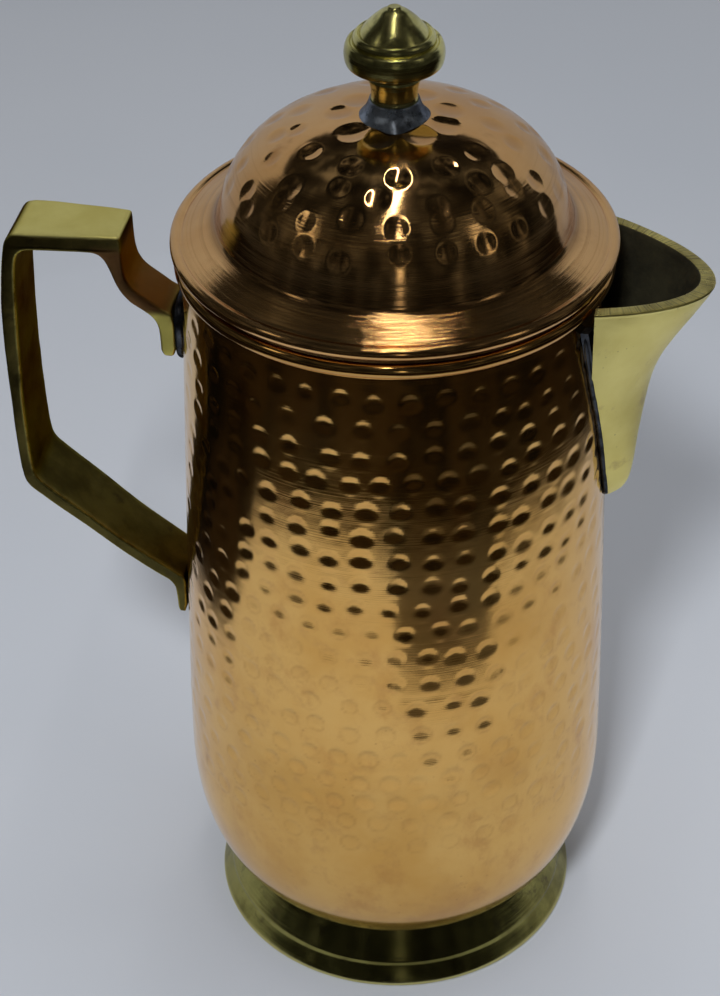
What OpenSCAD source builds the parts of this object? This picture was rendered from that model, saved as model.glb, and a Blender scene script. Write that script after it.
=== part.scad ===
// Hammered copper water jug with a lift-off domed lid, a cast brass strap
// handle, a cast brass beak spout and a turned brass foot ring and finial.
// Units are millimetres. +Z is up. The origin is on the jug's own axis, in
// the plane that the foot ring stands on. The spout points to +X and the
// handle to -X, so XZ is the plane of symmetry.

/* [Body] */
// Largest outer radius, low on the body
belly_r = 57.6; // [56.5:0.1:58.5]
// Height of the largest radius above the table
belly_z = 56; // [52:1:62]
// Outer radius of the neck, just under the rolled rim
neck_r = 52.3; // [51.8:0.1:52.8]
// Height of the outside of the bottom above the table
bottom_z = 9.5; // [8:0.1:11]
// Thickness of the copper sheet
sheet_t = 1.0; // [0.8:0.1:1.2]
// Radius of the circle that the centre of the rolled rim runs on
rim_r = 52.3; // [52:0.1:52.6]
// Height of the centre of the rolled rim
rim_z = 210.6; // [210:0.1:211]
// Radius of the roll's own section
rim_roll = 2.0; // [1.8:0.05:2.2]
// Radius of the wire inside the rolled rim
rim_wire_r = 1.05; // [0.8:0.05:1.2]

/* [Foot ring] */
// Outer radius of the foot where it stands
foot_r = 51.3; // [50.5:0.1:52.5]
// Radial width of the flat that the foot stands on
foot_land = 3.8; // [3:0.1:4.5]

/* [Spout] */
// Distance from the jug's axis to the tip of the beak
spout_tip = 79; // [76:0.5:82]
// Half of the beak's width where it meets the rim
spout_half = 24; // [22:0.25:24.5]
// Thickness of the beak's cast wall
spout_wall = 3.5; // [3:0.1:3.8]
// Height of the lowest point of the beak
spout_low = 142; // [138:1:146]
// Gap that the solder seam fills between beak and body
seam_t = 1.8; // [1.4:0.1:2.2]

/* [Handle] */
// Distance from the jug's axis to the outside of the grip
grip_reach = 100; // [96:0.5:104]
// Width of the strap at the lower corner, where it is widest
strap_wide = 20.3; // [18:0.1:21]
// Width of the strap where it comes to the body at the top
strap_narrow = 14.4; // [13:0.1:15]
// Height of the flat top of the handle
handle_top = 212.9; // [212:0.1:214]

/* [Lid] */
// Outer radius of the lid over its rolled edge
lid_r = 55; // [54.6:0.1:55.4]
// Height of the centre of the lid's rolled edge
lid_roll_z = 215.8; // [215.6:0.1:216.2]
// Radius of the section of the lid's rolled edge
lid_roll = 1.7; // [1.5:0.05:1.8]
// Radius of the wire inside the lid's rolled edge
lid_wire_r = 0.9; // [0.7:0.05:1]
// Radius of the dome at its foot
dome_r = 43.2; // [42:0.1:44]
// Height of the top of the dome above the table
dome_top = 248.4; // [246:0.2:250]
// Outer radius of the locating collar under the lid
collar_r = 49.8; // [49.2:0.1:49.9]
// Depth of the collar below the rim
collar_depth = 10; // [6:0.5:14]

/* [Finial] */
// Largest radius of the turned knob
knob_r = 11.9; // [10:0.1:13]
// Height of the tip of the knob above the table
knob_tip = 275.8; // [272:0.2:280]
// Radius of the solder collar round the knob's foot
collar_solder_r = 9; // [8:0.1:10]

/* [Hidden] */
$fn = 96;

copper = [0.80, 0.52, 0.36];
brass = [0.68, 0.62, 0.30];
tin = [0.50, 0.53, 0.58];
steel = [0.45, 0.44, 0.43];

// ---- outline of the body ------------------------------------------------
turn_w = 30;      // how far the rounded bottom reaches in from the belly
turn_n = 2.25;    // how full the rounded bottom is (2 is an ellipse)
taper_n = 1.3;    // how late the body starts to draw in towards the neck
wall_top = rim_z - 1.4;

function turn_r(z) =
    belly_r - turn_w + turn_w *
    pow(max(0, 1 - pow((belly_z - z) / (belly_z - bottom_z), turn_n)), 1 / turn_n);
function taper_r(z) =
    belly_r - (belly_r - neck_r) * pow((z - belly_z) / (208 - belly_z), taper_n);
function wall_r(z) = z < belly_z ? turn_r(z) : taper_r(min(z, 208));

// heights at which the outline is sampled: close together low in the turn
turn_steps = 14;
turn_zs = [for (i = [0:turn_steps - 1])
    bottom_z + (belly_z - bottom_z) * (1 - cos(90 * i / turn_steps))];
taper_steps = 14;
taper_zs = [for (i = [0:taper_steps])
    belly_z + (wall_top - belly_z) * i / taper_steps];
outline = concat([for (z = turn_zs) [turn_r(z), z]],
                 [for (z = taper_zs) [wall_r(z), z]]);

// outline moved outwards by d (or inwards when d is negative)
function unit(v) = v / norm(v);
function side_of(p, i, n) = unit(
    (i == 0 ? p[1] - p[0] : i == n - 1 ? p[i] - p[i - 1] : p[i + 1] - p[i - 1]));
function moved(p, d) = let (n = len(p)) [for (i = [0:n - 1])
    let (t = side_of(p, i, n)) [p[i][0] + d * t[1], p[i][1] - d * t[0]]];

// section of the solid body, grown by d: used to cut what sits against it
module body_section(d, top = 230) {
    o = moved(outline, d);
    polygon(concat([[0, bottom_z - d]], [[o[0][0], bottom_z - d]],
                   [for (i = [1:len(o) - 1]) o[i]],
                   [[neck_r + d, top], [0, top]]));
}

// ---- body -----------------------------------------------------------------
// half of the pour opening's outline, from the bottom up
pour_half = [[0, 161.5], [3.2, 162.6], [5.6, 165.5], [8, 171], [10.4, 178],
             [12.6, 186], [14.4, 194], [15.6, 201], [15.4, 203.5], [14, 205.4],
             [12, 206]];

module body_shell() {
    inner = moved(outline, -sheet_t);
    color(copper) difference() {
        rotate_extrude() difference() {
            union() {
                polygon(concat([[0, bottom_z]], outline,
                    [for (i = [len(inner) - 1:-1:1]) inner[i]],
                    [[inner[0][0], bottom_z + sheet_t], [0, bottom_z + sheet_t]]));
                translate([rim_r, rim_z]) circle(r = rim_roll);
            }
            translate([rim_r, rim_z]) circle(r = rim_wire_r + 0.02);
        }
        // pour opening behind the spout
        translate([40, 0, 0]) rotate([90, 0, 90]) linear_extrude(height = 25)
            polygon(concat(pour_half,
                [for (i = [len(pour_half) - 1:-1:1])
                    [-pour_half[i][0], pour_half[i][1]]]));
    }
}

module rim_wire() {
    color(steel) rotate_extrude() translate([rim_r, rim_z]) circle(r = rim_wire_r);
}

// ---- foot ring --------------------------------------------------------------
foot_out = [[-0.7, 0], [0, 0.6], [-0.1, 1.5], [-0.7, 2.4], [-1.7, 4.3],
            [-2.7, 6.2], [-2.6, 6.8], [-3.4, 7.9], [-4.8, 10], [-6.4, 12.5],
            [-7.6, 14.4], [-8.0, 15.4]];
foot_in = [[-9.6, 15], [-9.8, 12], [-8.6, 8], [-6.6, 3], [-0.7 - 3.8, 0]];

module foot_section() {
    difference() {
        polygon(concat([for (p = foot_out) [foot_r + p[0], p[1]]],
                       [for (i = [0:3]) [foot_r + foot_in[i][0], foot_in[i][1]]],
                       [[foot_r - 0.7 - foot_land, 0]]));
        body_section(0);
    }
}

module foot_ring() {
    color(brass) rotate_extrude() foot_section();
}

module foot_solder() {
    color(tin) rotate_extrude() difference() {
        polygon([[foot_r - 12.9, 12.0], [foot_r - 10.7, 10.9], [foot_r - 9.3, 11.1],
                 [foot_r - 9.1, 14.2], [foot_r - 11.5, 15]]);
        body_section(0);
        foot_section();
    }
}

// ---- spout ------------------------------------------------------------------
// The beak is a loft of V sections with a rounded keel. Each section is level.
// Keel: distance from the axis at each height, and half width at the body.
keel = [[spout_low, 56.2], [145, 59.6], [150, 61.5], [165, 62.9], [180, 64.8],
        [188, 67.1], [195, 70.7], [203, 75.6], [208, spout_tip - 0.7],
        [214, spout_tip + 0.6]];
half = [[spout_low, 1.6], [147, 5.0], [155, 8.6], [166, 12.0], [178, 15.2],
        [190, 18.6], [202, 21.6], [214, spout_half + 0.4]];

function seg(t, x, i = 0) = i >= len(t) - 2 || x < t[i + 1][0] ? i : seg(t, x, i + 1);
function slope(t, i) = i <= 0 ? (t[1][1] - t[0][1]) / (t[1][0] - t[0][0])
    : i >= len(t) - 1 ? (t[i][1] - t[i - 1][1]) / (t[i][0] - t[i - 1][0])
    : (t[i + 1][1] - t[i - 1][1]) / (t[i + 1][0] - t[i - 1][0]);
// smooth curve through a table of [x, y]
function smooth(t, x) = let (
        i = seg(t, x), h = t[i + 1][0] - t[i][0], u = (x - t[i][0]) / h,
        a = t[i][1], b = t[i + 1][1], m = slope(t, i) * h, k = slope(t, i + 1) * h)
    (2*u*u*u - 3*u*u + 1) * a + (u*u*u - 2*u*u + u) * m
    + (-2*u*u*u + 3*u*u) * b + (u*u*u - u*u) * k;

root_x = 51;      // where the sides of the beak start, inside the body wall
v_p = 1.15;       // shape of the V: how soon the sides lean in
v_q = 0.62;       // shape of the V: how round the keel is
v_steps = 9;

// one level section, w = wall taken off all round
function v_ring(z, w) = let (
        k = smooth(keel, z) - w * 1.15, b = max(0.4, smooth(half, z) - w),
        side = [for (i = [0:v_steps]) let (
            u = i / v_steps, s = 1 - (1 - u) * (1 - u),
            y = b * pow(max(0, 1 - pow(s, v_p)), v_q))
            [root_x + s * (k - root_x), y]])
    concat([[46, -b, z]], [for (i = [0:v_steps]) [side[i][0], -side[i][1], z]],
           [for (i = [v_steps - 1:-1:0]) [side[i][0], side[i][1], z]], [[46, b, z]]);

module loft(rings) {
    n = len(rings[0]);
    m = len(rings);
    polyhedron(points = [for (r = rings) for (p = r) p],
        faces = concat([[for (i = [0:n - 1]) i]],
            [for (j = [0:m - 2]) for (i = [0:n - 1])
                let (a = j * n + i, b = j * n + (i + 1) % n)
                for (f = [[a, a + n, b], [b, a + n, b + n]]) f],
            [[for (i = [n - 1:-1:0]) (m - 1) * n + i]]),
        convexity = 6);
}

horn_zs = [spout_low, 143, 144.5, 147, 151, 158, 166, 174, 182, 188, 194, 199,
           204, 208, 211, 214];
cave_zs = [151, 153, 158, 166, 174, 182, 188, 194, 199, 204, 208, 211, 214];
module horn() { loft([for (z = horn_zs) v_ring(z, 0)]); }
module cave() { loft([for (z = cave_zs) v_ring(z, spout_wall)]); }

// everything above the flat rim of the beak, which falls a little to the tip
module above_rim() {
    translate([0, 50, 0]) rotate([90, 0, 0]) linear_extrude(height = 100)
        polygon([[40, 212.2], [54, 211.4], [82, 208.6], [90, 208], [90, 230], [40, 230]]);
}

module spout() {
    color(brass) difference() {
        horn();
        cave();
        above_rim();
        rotate_extrude() body_section(seam_t);
        cylinder(r = rim_r + rim_roll + 0.5, h = 60, $fn = 120);
        translate([0, 0, 204]) cylinder(r = rim_r + rim_roll + 0.5, h = 30);
    }
}

module spout_solder() {
    color(tin) difference() {
        intersection() {
            loft([for (z = horn_zs) v_ring(z, 0.5)]);
            rotate_extrude() body_section(seam_t - 0.02);
        }
        cave();
        rotate_extrude() body_section(0.02);
        translate([0, 0, 205]) cylinder(r = 90, h = 30);
    }
}

// ---- handle -----------------------------------------------------------------
// side outline of the strap, [distance from the axis, height], outside first
top_z = handle_top;
strap_out = [[55.3, 178.6], [55.3, 191.2], [58.3, 192.5], [60.8, 194.4],
    [63.6, 196.4], [65.7, 198.3], [67.0, 200.8], [67.5, 203.6], [67.6, 206.8],
    [67.6, top_z - 0.8], [68.3, top_z], [92.6, top_z], [95.6, top_z - 0.7],
    [97.3, top_z - 3], [98.3, 204.4], [99.1, 198.5], [99.6, 192.5],
    [grip_reach, 180.4], [grip_reach - 0.1, 168], [grip_reach - 0.5, 155],
    [99.1, 142.3], [98.4, 137.4], [97.2, 135.2], [95, 133.2], [84.7, 124.5],
    [74.3, 115.5], [69, 111.2], [63.8, 107.5], [61.0, 105.7], [59.7, 103.6],
    [59.4, 100], [59.2, 94.7]];
strap_in = [[57.0, 94.7], [56.4, 107.0], [58.4, 108.4], [63.4, 112.0],
    [68.8, 115.9], [74, 120.0], [84.4, 128.9], [94.0, 137.0], [95.6, 139.4],
    [96.2, 145], [96.5, 158], [96.5, 168], [96.2, 180.4], [95.6, 192.5],
    [94.9, 203.0], [94.1, 206.4], [92.4, 207.8], [90, 208.0], [75.5, 208.0],
    [73.4, 207.4], [72.0, 205.8], [70.9, 203.0], [69.9, 199.6], [68.3, 196.3],
    [66.2, 193.8], [63.4, 192.0], [61.0, 190.2], [59.8, 188.5], [59.2, 186],
    [59.1, 178.6]];

module handle() {
    w = strap_wide / 2;
    color(brass) difference() {
        intersection() {
            translate([0, 15, 0]) rotate([90, 0, 0]) linear_extrude(height = 30)
                polygon([for (p = concat(strap_out, strap_in)) [-p[0], p[1]]]);
            // the strap is widest at its lower corner
            translate([-110, 0, 0]) rotate([90, 0, 90]) linear_extrude(height = 70)
                polygon([[-8.0, 90], [-8.8, 110], [-w + 0.1, 130], [-w, 138],
                         [-w + 1.2, 205], [-w + 1.5, 216], [w - 1.5, 216],
                         [w - 1.2, 205], [w, 138], [w - 0.1, 130], [8.8, 110],
                         [8.0, 90]]);
            // and narrows towards the body along the top
            union() {
                translate([-110, -15, 90]) cube([70, 30, 80]);
                translate([0, 0, 169]) linear_extrude(height = 50)
                    polygon([[-110, -11], [-97, -9.2], [-67.5, -strap_narrow / 2],
                             [-45, -strap_narrow / 2 + 0.4],
                             [-45, strap_narrow / 2 - 0.4],
                             [-67.5, strap_narrow / 2], [-97, 9.2], [-110, 11]]);
            }
        }
        rotate_extrude() body_section(0.35);
    }
}

module handle_solder_upper() {
    color(tin) difference() {
        translate([-55.28, 0, 0]) rotate([90, 0, 90]) linear_extrude(height = 6)
            polygon([[-6.4, 178.7], [-6.8, 181], [-6.8, 188], [-5.6, 191],
                     [-3.5, 192.4], [3.5, 192.4], [5.6, 191], [6.8, 188],
                     [6.8, 181], [6.4, 178.7]]);
        rotate_extrude() body_section(0.02);
    }
}

module handle_solder_lower() {
    color(tin) intersection() {
        translate([-60, 0, 0]) rotate([90, 0, 90]) linear_extrude(height = 8)
            polygon([[-7.2, 95], [-7.6, 98], [-7.6, 104], [-6, 106.6],
                     [6, 106.6], [7.6, 104], [7.6, 98], [7.2, 95]]);
        difference() {
            rotate_extrude() body_section(0.33);
            rotate_extrude() body_section(0.02);
        }
    }
}

// ---- lid --------------------------------------------------------------------
dome_n = 2.48;    // how full the dome is (2 is an ellipse)
dome_z = 215.8;   // height of the dome's widest level
lid_c = lid_r - lid_roll;
dome_steps = 16;
lid_out = concat(
    [for (i = [0:dome_steps]) let (a = 90 - 76 * i / dome_steps)
        [dome_r * pow(cos(a), 2 / dome_n),
         dome_z + (dome_top - dome_z) * pow(sin(a), 2 / dome_n)]],
    [[dome_r + 0.1, 222.6], [dome_r + 0.5, 221.3], [dome_r + 1.3, 220.4],
     [46, 219.7], [48.5, 218.7], [51, 217.8], [lid_c - 0.95, lid_roll_z + 1.25]]);
lid_in = moved(lid_out, sheet_t);

module lid_sheet() {
    n = len(lid_out);
    polygon(concat([[0, dome_top]], [for (i = [1:n - 1]) lid_out[i]],
                   [for (i = [n - 1:-1:1]) lid_in[i]],
                   [[0, dome_top - sheet_t]]));
}
module lid_edge(r) {
    translate([lid_c, lid_roll_z]) circle(r = r);
}

module lid() {
    color(copper) difference() {
        union() {
            rotate_extrude() lid_sheet();
            rotate_extrude() lid_edge(lid_roll);
        }
        rotate_extrude() lid_edge(lid_wire_r + 0.02);
        // hole for the finial's spigot
        translate([0, 0, dome_top - 6]) cylinder(r = 2.6, h = 12);
    }
}

module lid_rim_wire() {
    color(steel) rotate_extrude() lid_edge(lid_wire_r);
}

lip_z = rim_z + rim_roll + 0.3;
module lid_collar() {
    color(copper) rotate_extrude() difference() {
        polygon([[collar_r - 0.9, lip_z - 0.3 - collar_depth],
                 [collar_r, lip_z - 0.3 - collar_depth], [collar_r, lip_z],
                 [lid_c - 0.3, lip_z], [lid_c - 0.3, lip_z + 1.0],
                 [collar_r, lip_z + 1.0], [collar_r, 219], [collar_r - 0.9, 219]]);
        // everything at and above the underside of the lid
        lid_sheet();
        lid_edge(lid_roll);
        polygon([[44, 224], [44, 219.4], [46, 219.2], [48.5, 218.2], [51, 217.3],
                 [54, 217], [54, 224]]);
    }
}

// ---- finial -----------------------------------------------------------------
// outline of the turned knob, [radius, height], from its foot to its tip
k = knob_r / 11.9;
h0 = knob_tip - 275.8;
foot_z = dome_top + 0.5;
knob = [[6.4, 250.4], [5.8, 252], [5.5, 253.6], [5.6, 255.2],
    [5.9, 256.7], [6.3, 257.6], [6.55, 258.2], [6.3, 258.8], [6.4, 259.7],
    [7.3, 260.5], [9.2, 261.1], [10.9, 261.5], [11.5, 262.1], [11.8, 263.2],
    [11.9, 264.6], [11.7, 266], [11.2, 267.2],
    [10.7, 267.5], [10.2, 267.0], [9.8, 267.1], [9.8, 267.8], [9.6, 268.7],
    [9.1, 269.4], [8.7, 269.4], [8.3, 268.9], [8.1, 269.3], [7.6, 270.1],
    [6.8, 271.2], [5.6, 272.5], [4.4, 273.6], [3.3, 274.5], [2.3, 275.0],
    [1.8, 275.1], [1.7, 275.6], [1.3, 275.8], [0, 275.8]];

module finial() {
    color(brass) rotate_extrude() polygon(concat(
        [[0, dome_top - 2.2], [2.2, dome_top - 2.2], [2.58, dome_top - 1.8],
         [2.58, foot_z], [6.9 * k, foot_z]],
        [for (p = knob) [p[0] * k, p[1] + h0]]));
}

module finial_solder() {
    c = collar_solder_r;
    color(tin) rotate_extrude() polygon([
        [2.62, dome_top + 0.02], [c, dome_top - 0.18], [c - 0.4, dome_top + 0.5],
        [c - 1.1, dome_top + 1.2], [7.3 * k, dome_top + 2.1],
        [6.6 * k, dome_top + 2.7], [6.3 * k, dome_top + 2.66],
        [6.42 * k + 0.01, 250.4 + h0], [6.92 * k, foot_z - 0.02],
        [2.62, foot_z - 0.02]]);
}

body_shell();
rim_wire();
foot_ring();
foot_solder();
spout();
spout_solder();
handle();
handle_solder_upper();
handle_solder_lower();
lid();
lid_rim_wire();
lid_collar();
finial();
finial_solder();
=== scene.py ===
import math

import bpy
import numpy as np
from mathutils import Matrix, Vector
from mathutils.geometry import tessellate_polygon


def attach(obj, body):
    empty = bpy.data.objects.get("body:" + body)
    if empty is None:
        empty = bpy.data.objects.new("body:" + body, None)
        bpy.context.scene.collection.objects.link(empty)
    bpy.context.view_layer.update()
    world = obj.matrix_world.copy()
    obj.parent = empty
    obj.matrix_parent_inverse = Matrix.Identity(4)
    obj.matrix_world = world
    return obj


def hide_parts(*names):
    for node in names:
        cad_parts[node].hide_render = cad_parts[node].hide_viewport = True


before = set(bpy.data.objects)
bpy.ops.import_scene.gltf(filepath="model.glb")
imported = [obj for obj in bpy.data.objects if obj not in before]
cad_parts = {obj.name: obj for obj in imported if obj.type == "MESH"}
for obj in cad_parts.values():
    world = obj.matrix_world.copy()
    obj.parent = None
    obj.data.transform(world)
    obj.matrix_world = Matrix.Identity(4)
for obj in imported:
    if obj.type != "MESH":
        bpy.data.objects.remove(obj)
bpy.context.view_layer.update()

SCENE = bpy.context.scene
RNG = np.random.RandomState(20798)
PI = math.pi
TURN = math.radians(8.5)      # how far the jug is turned from square to the camera


def turned(x, y):
    """From camera-square directions (camera towards -Y) to the part's frame."""
    return x * math.cos(TURN) - y * math.sin(TURN), x * math.sin(TURN) + y * math.cos(TURN)


# ---------------------------------------------------------------- outlines
def turn_r(z):
    t = np.clip((56.0 - z) / 46.5, 0, 1)
    return 27.6 + 30.0 * np.clip(1 - t ** 2.25, 0, 1) ** (1 / 2.25)


def wall_r(z):
    z = np.asarray(z, float)
    up = 57.6 - 5.3 * (np.clip(np.minimum(z, 208.0) - 56.0, 0, None) / 152.0) ** 1.3
    return np.where(z < 56, turn_r(z), up)


def dedupe(p, eps=1e-4):
    out = [p[0]]
    for q in p[1:]:
        if np.hypot(q[0] - out[-1][0], q[1] - out[-1][1]) > eps:
            out.append(q)
    return np.array(out, float)


def resample(p, step, closed=False):
    p = np.asarray(p, float)
    if closed:
        p = np.vstack([p, p[:1]])
    s = np.concatenate([[0], np.cumsum(np.hypot(*np.diff(p, axis=0).T))])
    n = max(2, int(round(s[-1] / step)))
    t = np.linspace(0, s[-1], n + 1)
    q = np.stack([np.interp(t, s, p[:, i]) for i in range(p.shape[1])], -1)
    return q[:-1] if closed else q


def soften(p, rounds=2, closed=False, keep=0.25):
    """Corner cutting: rounds the corners of a polyline."""
    p = np.asarray(p, float)
    for _ in range(rounds):
        a, b = (p, np.roll(p, -1, 0)) if closed else (p[:-1], p[1:])
        q = np.stack([a * (1 - keep) + b * keep, a * keep + b * (1 - keep)], 1).reshape(-1, p.shape[1])
        p = q if closed else np.vstack([p[:1], q, p[-1:]])
    return p


def side_normals(p, closed=False):
    """Unit vectors to the left of the direction of travel."""
    p = np.asarray(p, float)
    if closed:
        t = np.roll(p, -1, 0) - np.roll(p, 1, 0)
    else:
        t = np.gradient(p, axis=0)
    t /= np.maximum(np.hypot(t[:, 0], t[:, 1]), 1e-9)[:, None]
    return np.stack([-t[:, 1], t[:, 0]], -1)


# ------------------------------------------------------------ smooth noise
def value_noise(p, scale, seed=0, octaves=3):
    """Smooth repeatable noise, about -1..1, at the points p (n, 3) given in mm."""
    p = np.asarray(p, float) / scale
    out = np.zeros(len(p))
    amp = 1.0
    tot = 0.0
    for o in range(octaves):
        q = np.floor(p).astype(np.int64)
        f = p - q
        f = f * f * (3 - 2 * f)
        acc = np.zeros(len(p))
        for dx in (0, 1):
            for dy in (0, 1):
                for dz in (0, 1):
                    h = ((q[:, 0] + dx) * 374761393 + (q[:, 1] + dy) * 668265263
                         + (q[:, 2] + dz) * 2147483647 + (seed + o * 17) * 1274126177)
                    h = (h ^ (h >> 13)) * 1103515245
                    h = h ^ (h >> 16)
                    v = (h & 0xFFFF) / 32767.5 - 1
                    w = ((f[:, 0] if dx else 1 - f[:, 0]) * (f[:, 1] if dy else 1 - f[:, 1])
                         * (f[:, 2] if dz else 1 - f[:, 2]))
                    acc += v * w
        out += amp * acc
        tot += amp
        amp *= 0.5
        p = p * 2.03 + 11.7
    return out / tot


# ------------------------------------------------------------------ meshes
def grid_faces(rows, cols, wrap=True, start=0):
    i = np.arange(rows - 1)[:, None]
    j = np.arange(cols if wrap else cols - 1)[None, :]
    k = (j + 1) % cols
    return np.stack([i * cols + j, i * cols + k, (i + 1) * cols + k, (i + 1) * cols + j],
                    -1).reshape(-1, 4) + start


def volume_sign(v, faces):
    s = 0.0
    for f in faces:
        if len(f) > 4:
            continue
        a = v[f[0]]
        for i in range(1, len(f) - 1):
            s += float(np.dot(a, np.cross(v[f[i]], v[f[i + 1]])))
    return s


def make(name, verts, faces, mats, body, replaces=(), flat_angle=None, index=None):
    """A mesh piece from points in mm. faces is a list of lists. Normals are turned outwards."""
    v = np.asarray(verts, float) * 0.001
    mesh = bpy.data.meshes.new(name)
    quads = [f for f in faces if len(f) == 4]
    q = np.array(quads, int) if quads else None
    s = 0.0
    if q is not None:
        s += np.einsum("ij,ij->", v[q[:, 0]], np.cross(v[q[:, 1]], v[q[:, 2]]))
        s += np.einsum("ij,ij->", v[q[:, 0]], np.cross(v[q[:, 2]], v[q[:, 3]]))
    s += volume_sign(v, [f for f in faces if len(f) != 4])
    if s < 0:
        faces = [list(reversed(f)) for f in faces]
    mesh.from_pydata(v.tolist(), [], faces)
    for m in (mats if isinstance(mats, (list, tuple)) else [mats]):
        mesh.materials.append(m)
    mesh.polygons.foreach_set("use_smooth", [True] * len(mesh.polygons))
    if index is not None:
        mesh.polygons.foreach_set("material_index", index)
    mesh.update()
    if flat_angle:
        mesh.set_sharp_from_angle(angle=math.radians(flat_angle))
    ob = bpy.data.objects.new(name, mesh)
    SCENE.collection.objects.link(ob)
    if body:
        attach(ob, body)
        if replaces:
            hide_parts(*replaces)
    return ob


def store(ob, name, values):
    a = ob.data.attributes.new(name, "FLOAT", "POINT")
    a.data.foreach_set("value", np.asarray(values, np.float32))


def revolve(profile, cols):
    """Points of a profile [(r, z)] turned round Z: (rows, cols, 3)."""
    th = np.arange(cols) * 2 * PI / cols
    p = np.asarray(profile, float)
    return np.stack([p[:, :1] * np.cos(th), p[:, :1] * np.sin(th),
                     np.repeat(p[:, 1:], cols, 1)], -1)


def press(depth, pts, rows_z, centre, radius, deep, rim=0.05, window=1.7, lean=0.0, power=2.0,
          ring=None):
    """Adds one hammer mark to depth (rows, cols); distances are straight lines.
    lean tips the floor of the mark so that it faces a little upwards."""
    lo = np.searchsorted(rows_z, centre[3] - radius * window)
    hi = np.searchsorted(rows_z, centre[3] + radius * window)
    if hi <= lo:
        return
    blk = pts[lo:hi]
    t = np.sqrt(((blk - np.asarray(centre[:3])) ** 2).sum(-1)) / radius
    cap = np.where(t < 1, 1 - t ** power, 0)
    if lean:
        cap = cap + np.where(t < 1, lean * (blk[..., 2] - centre[2]) * (1 - t ** 6), 0) / deep
    lip = np.exp(-((t - 1.13) / 0.16) ** 2) * rim
    wide = np.exp(-(t / 1.5) ** 2) * 0.10
    depth[lo:hi] += deep * (cap - lip + wide)
    if ring is not None:
        ring[lo:hi] = np.maximum(ring[lo:hi], np.exp(-((t - 0.97) / 0.13) ** 2))


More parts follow.
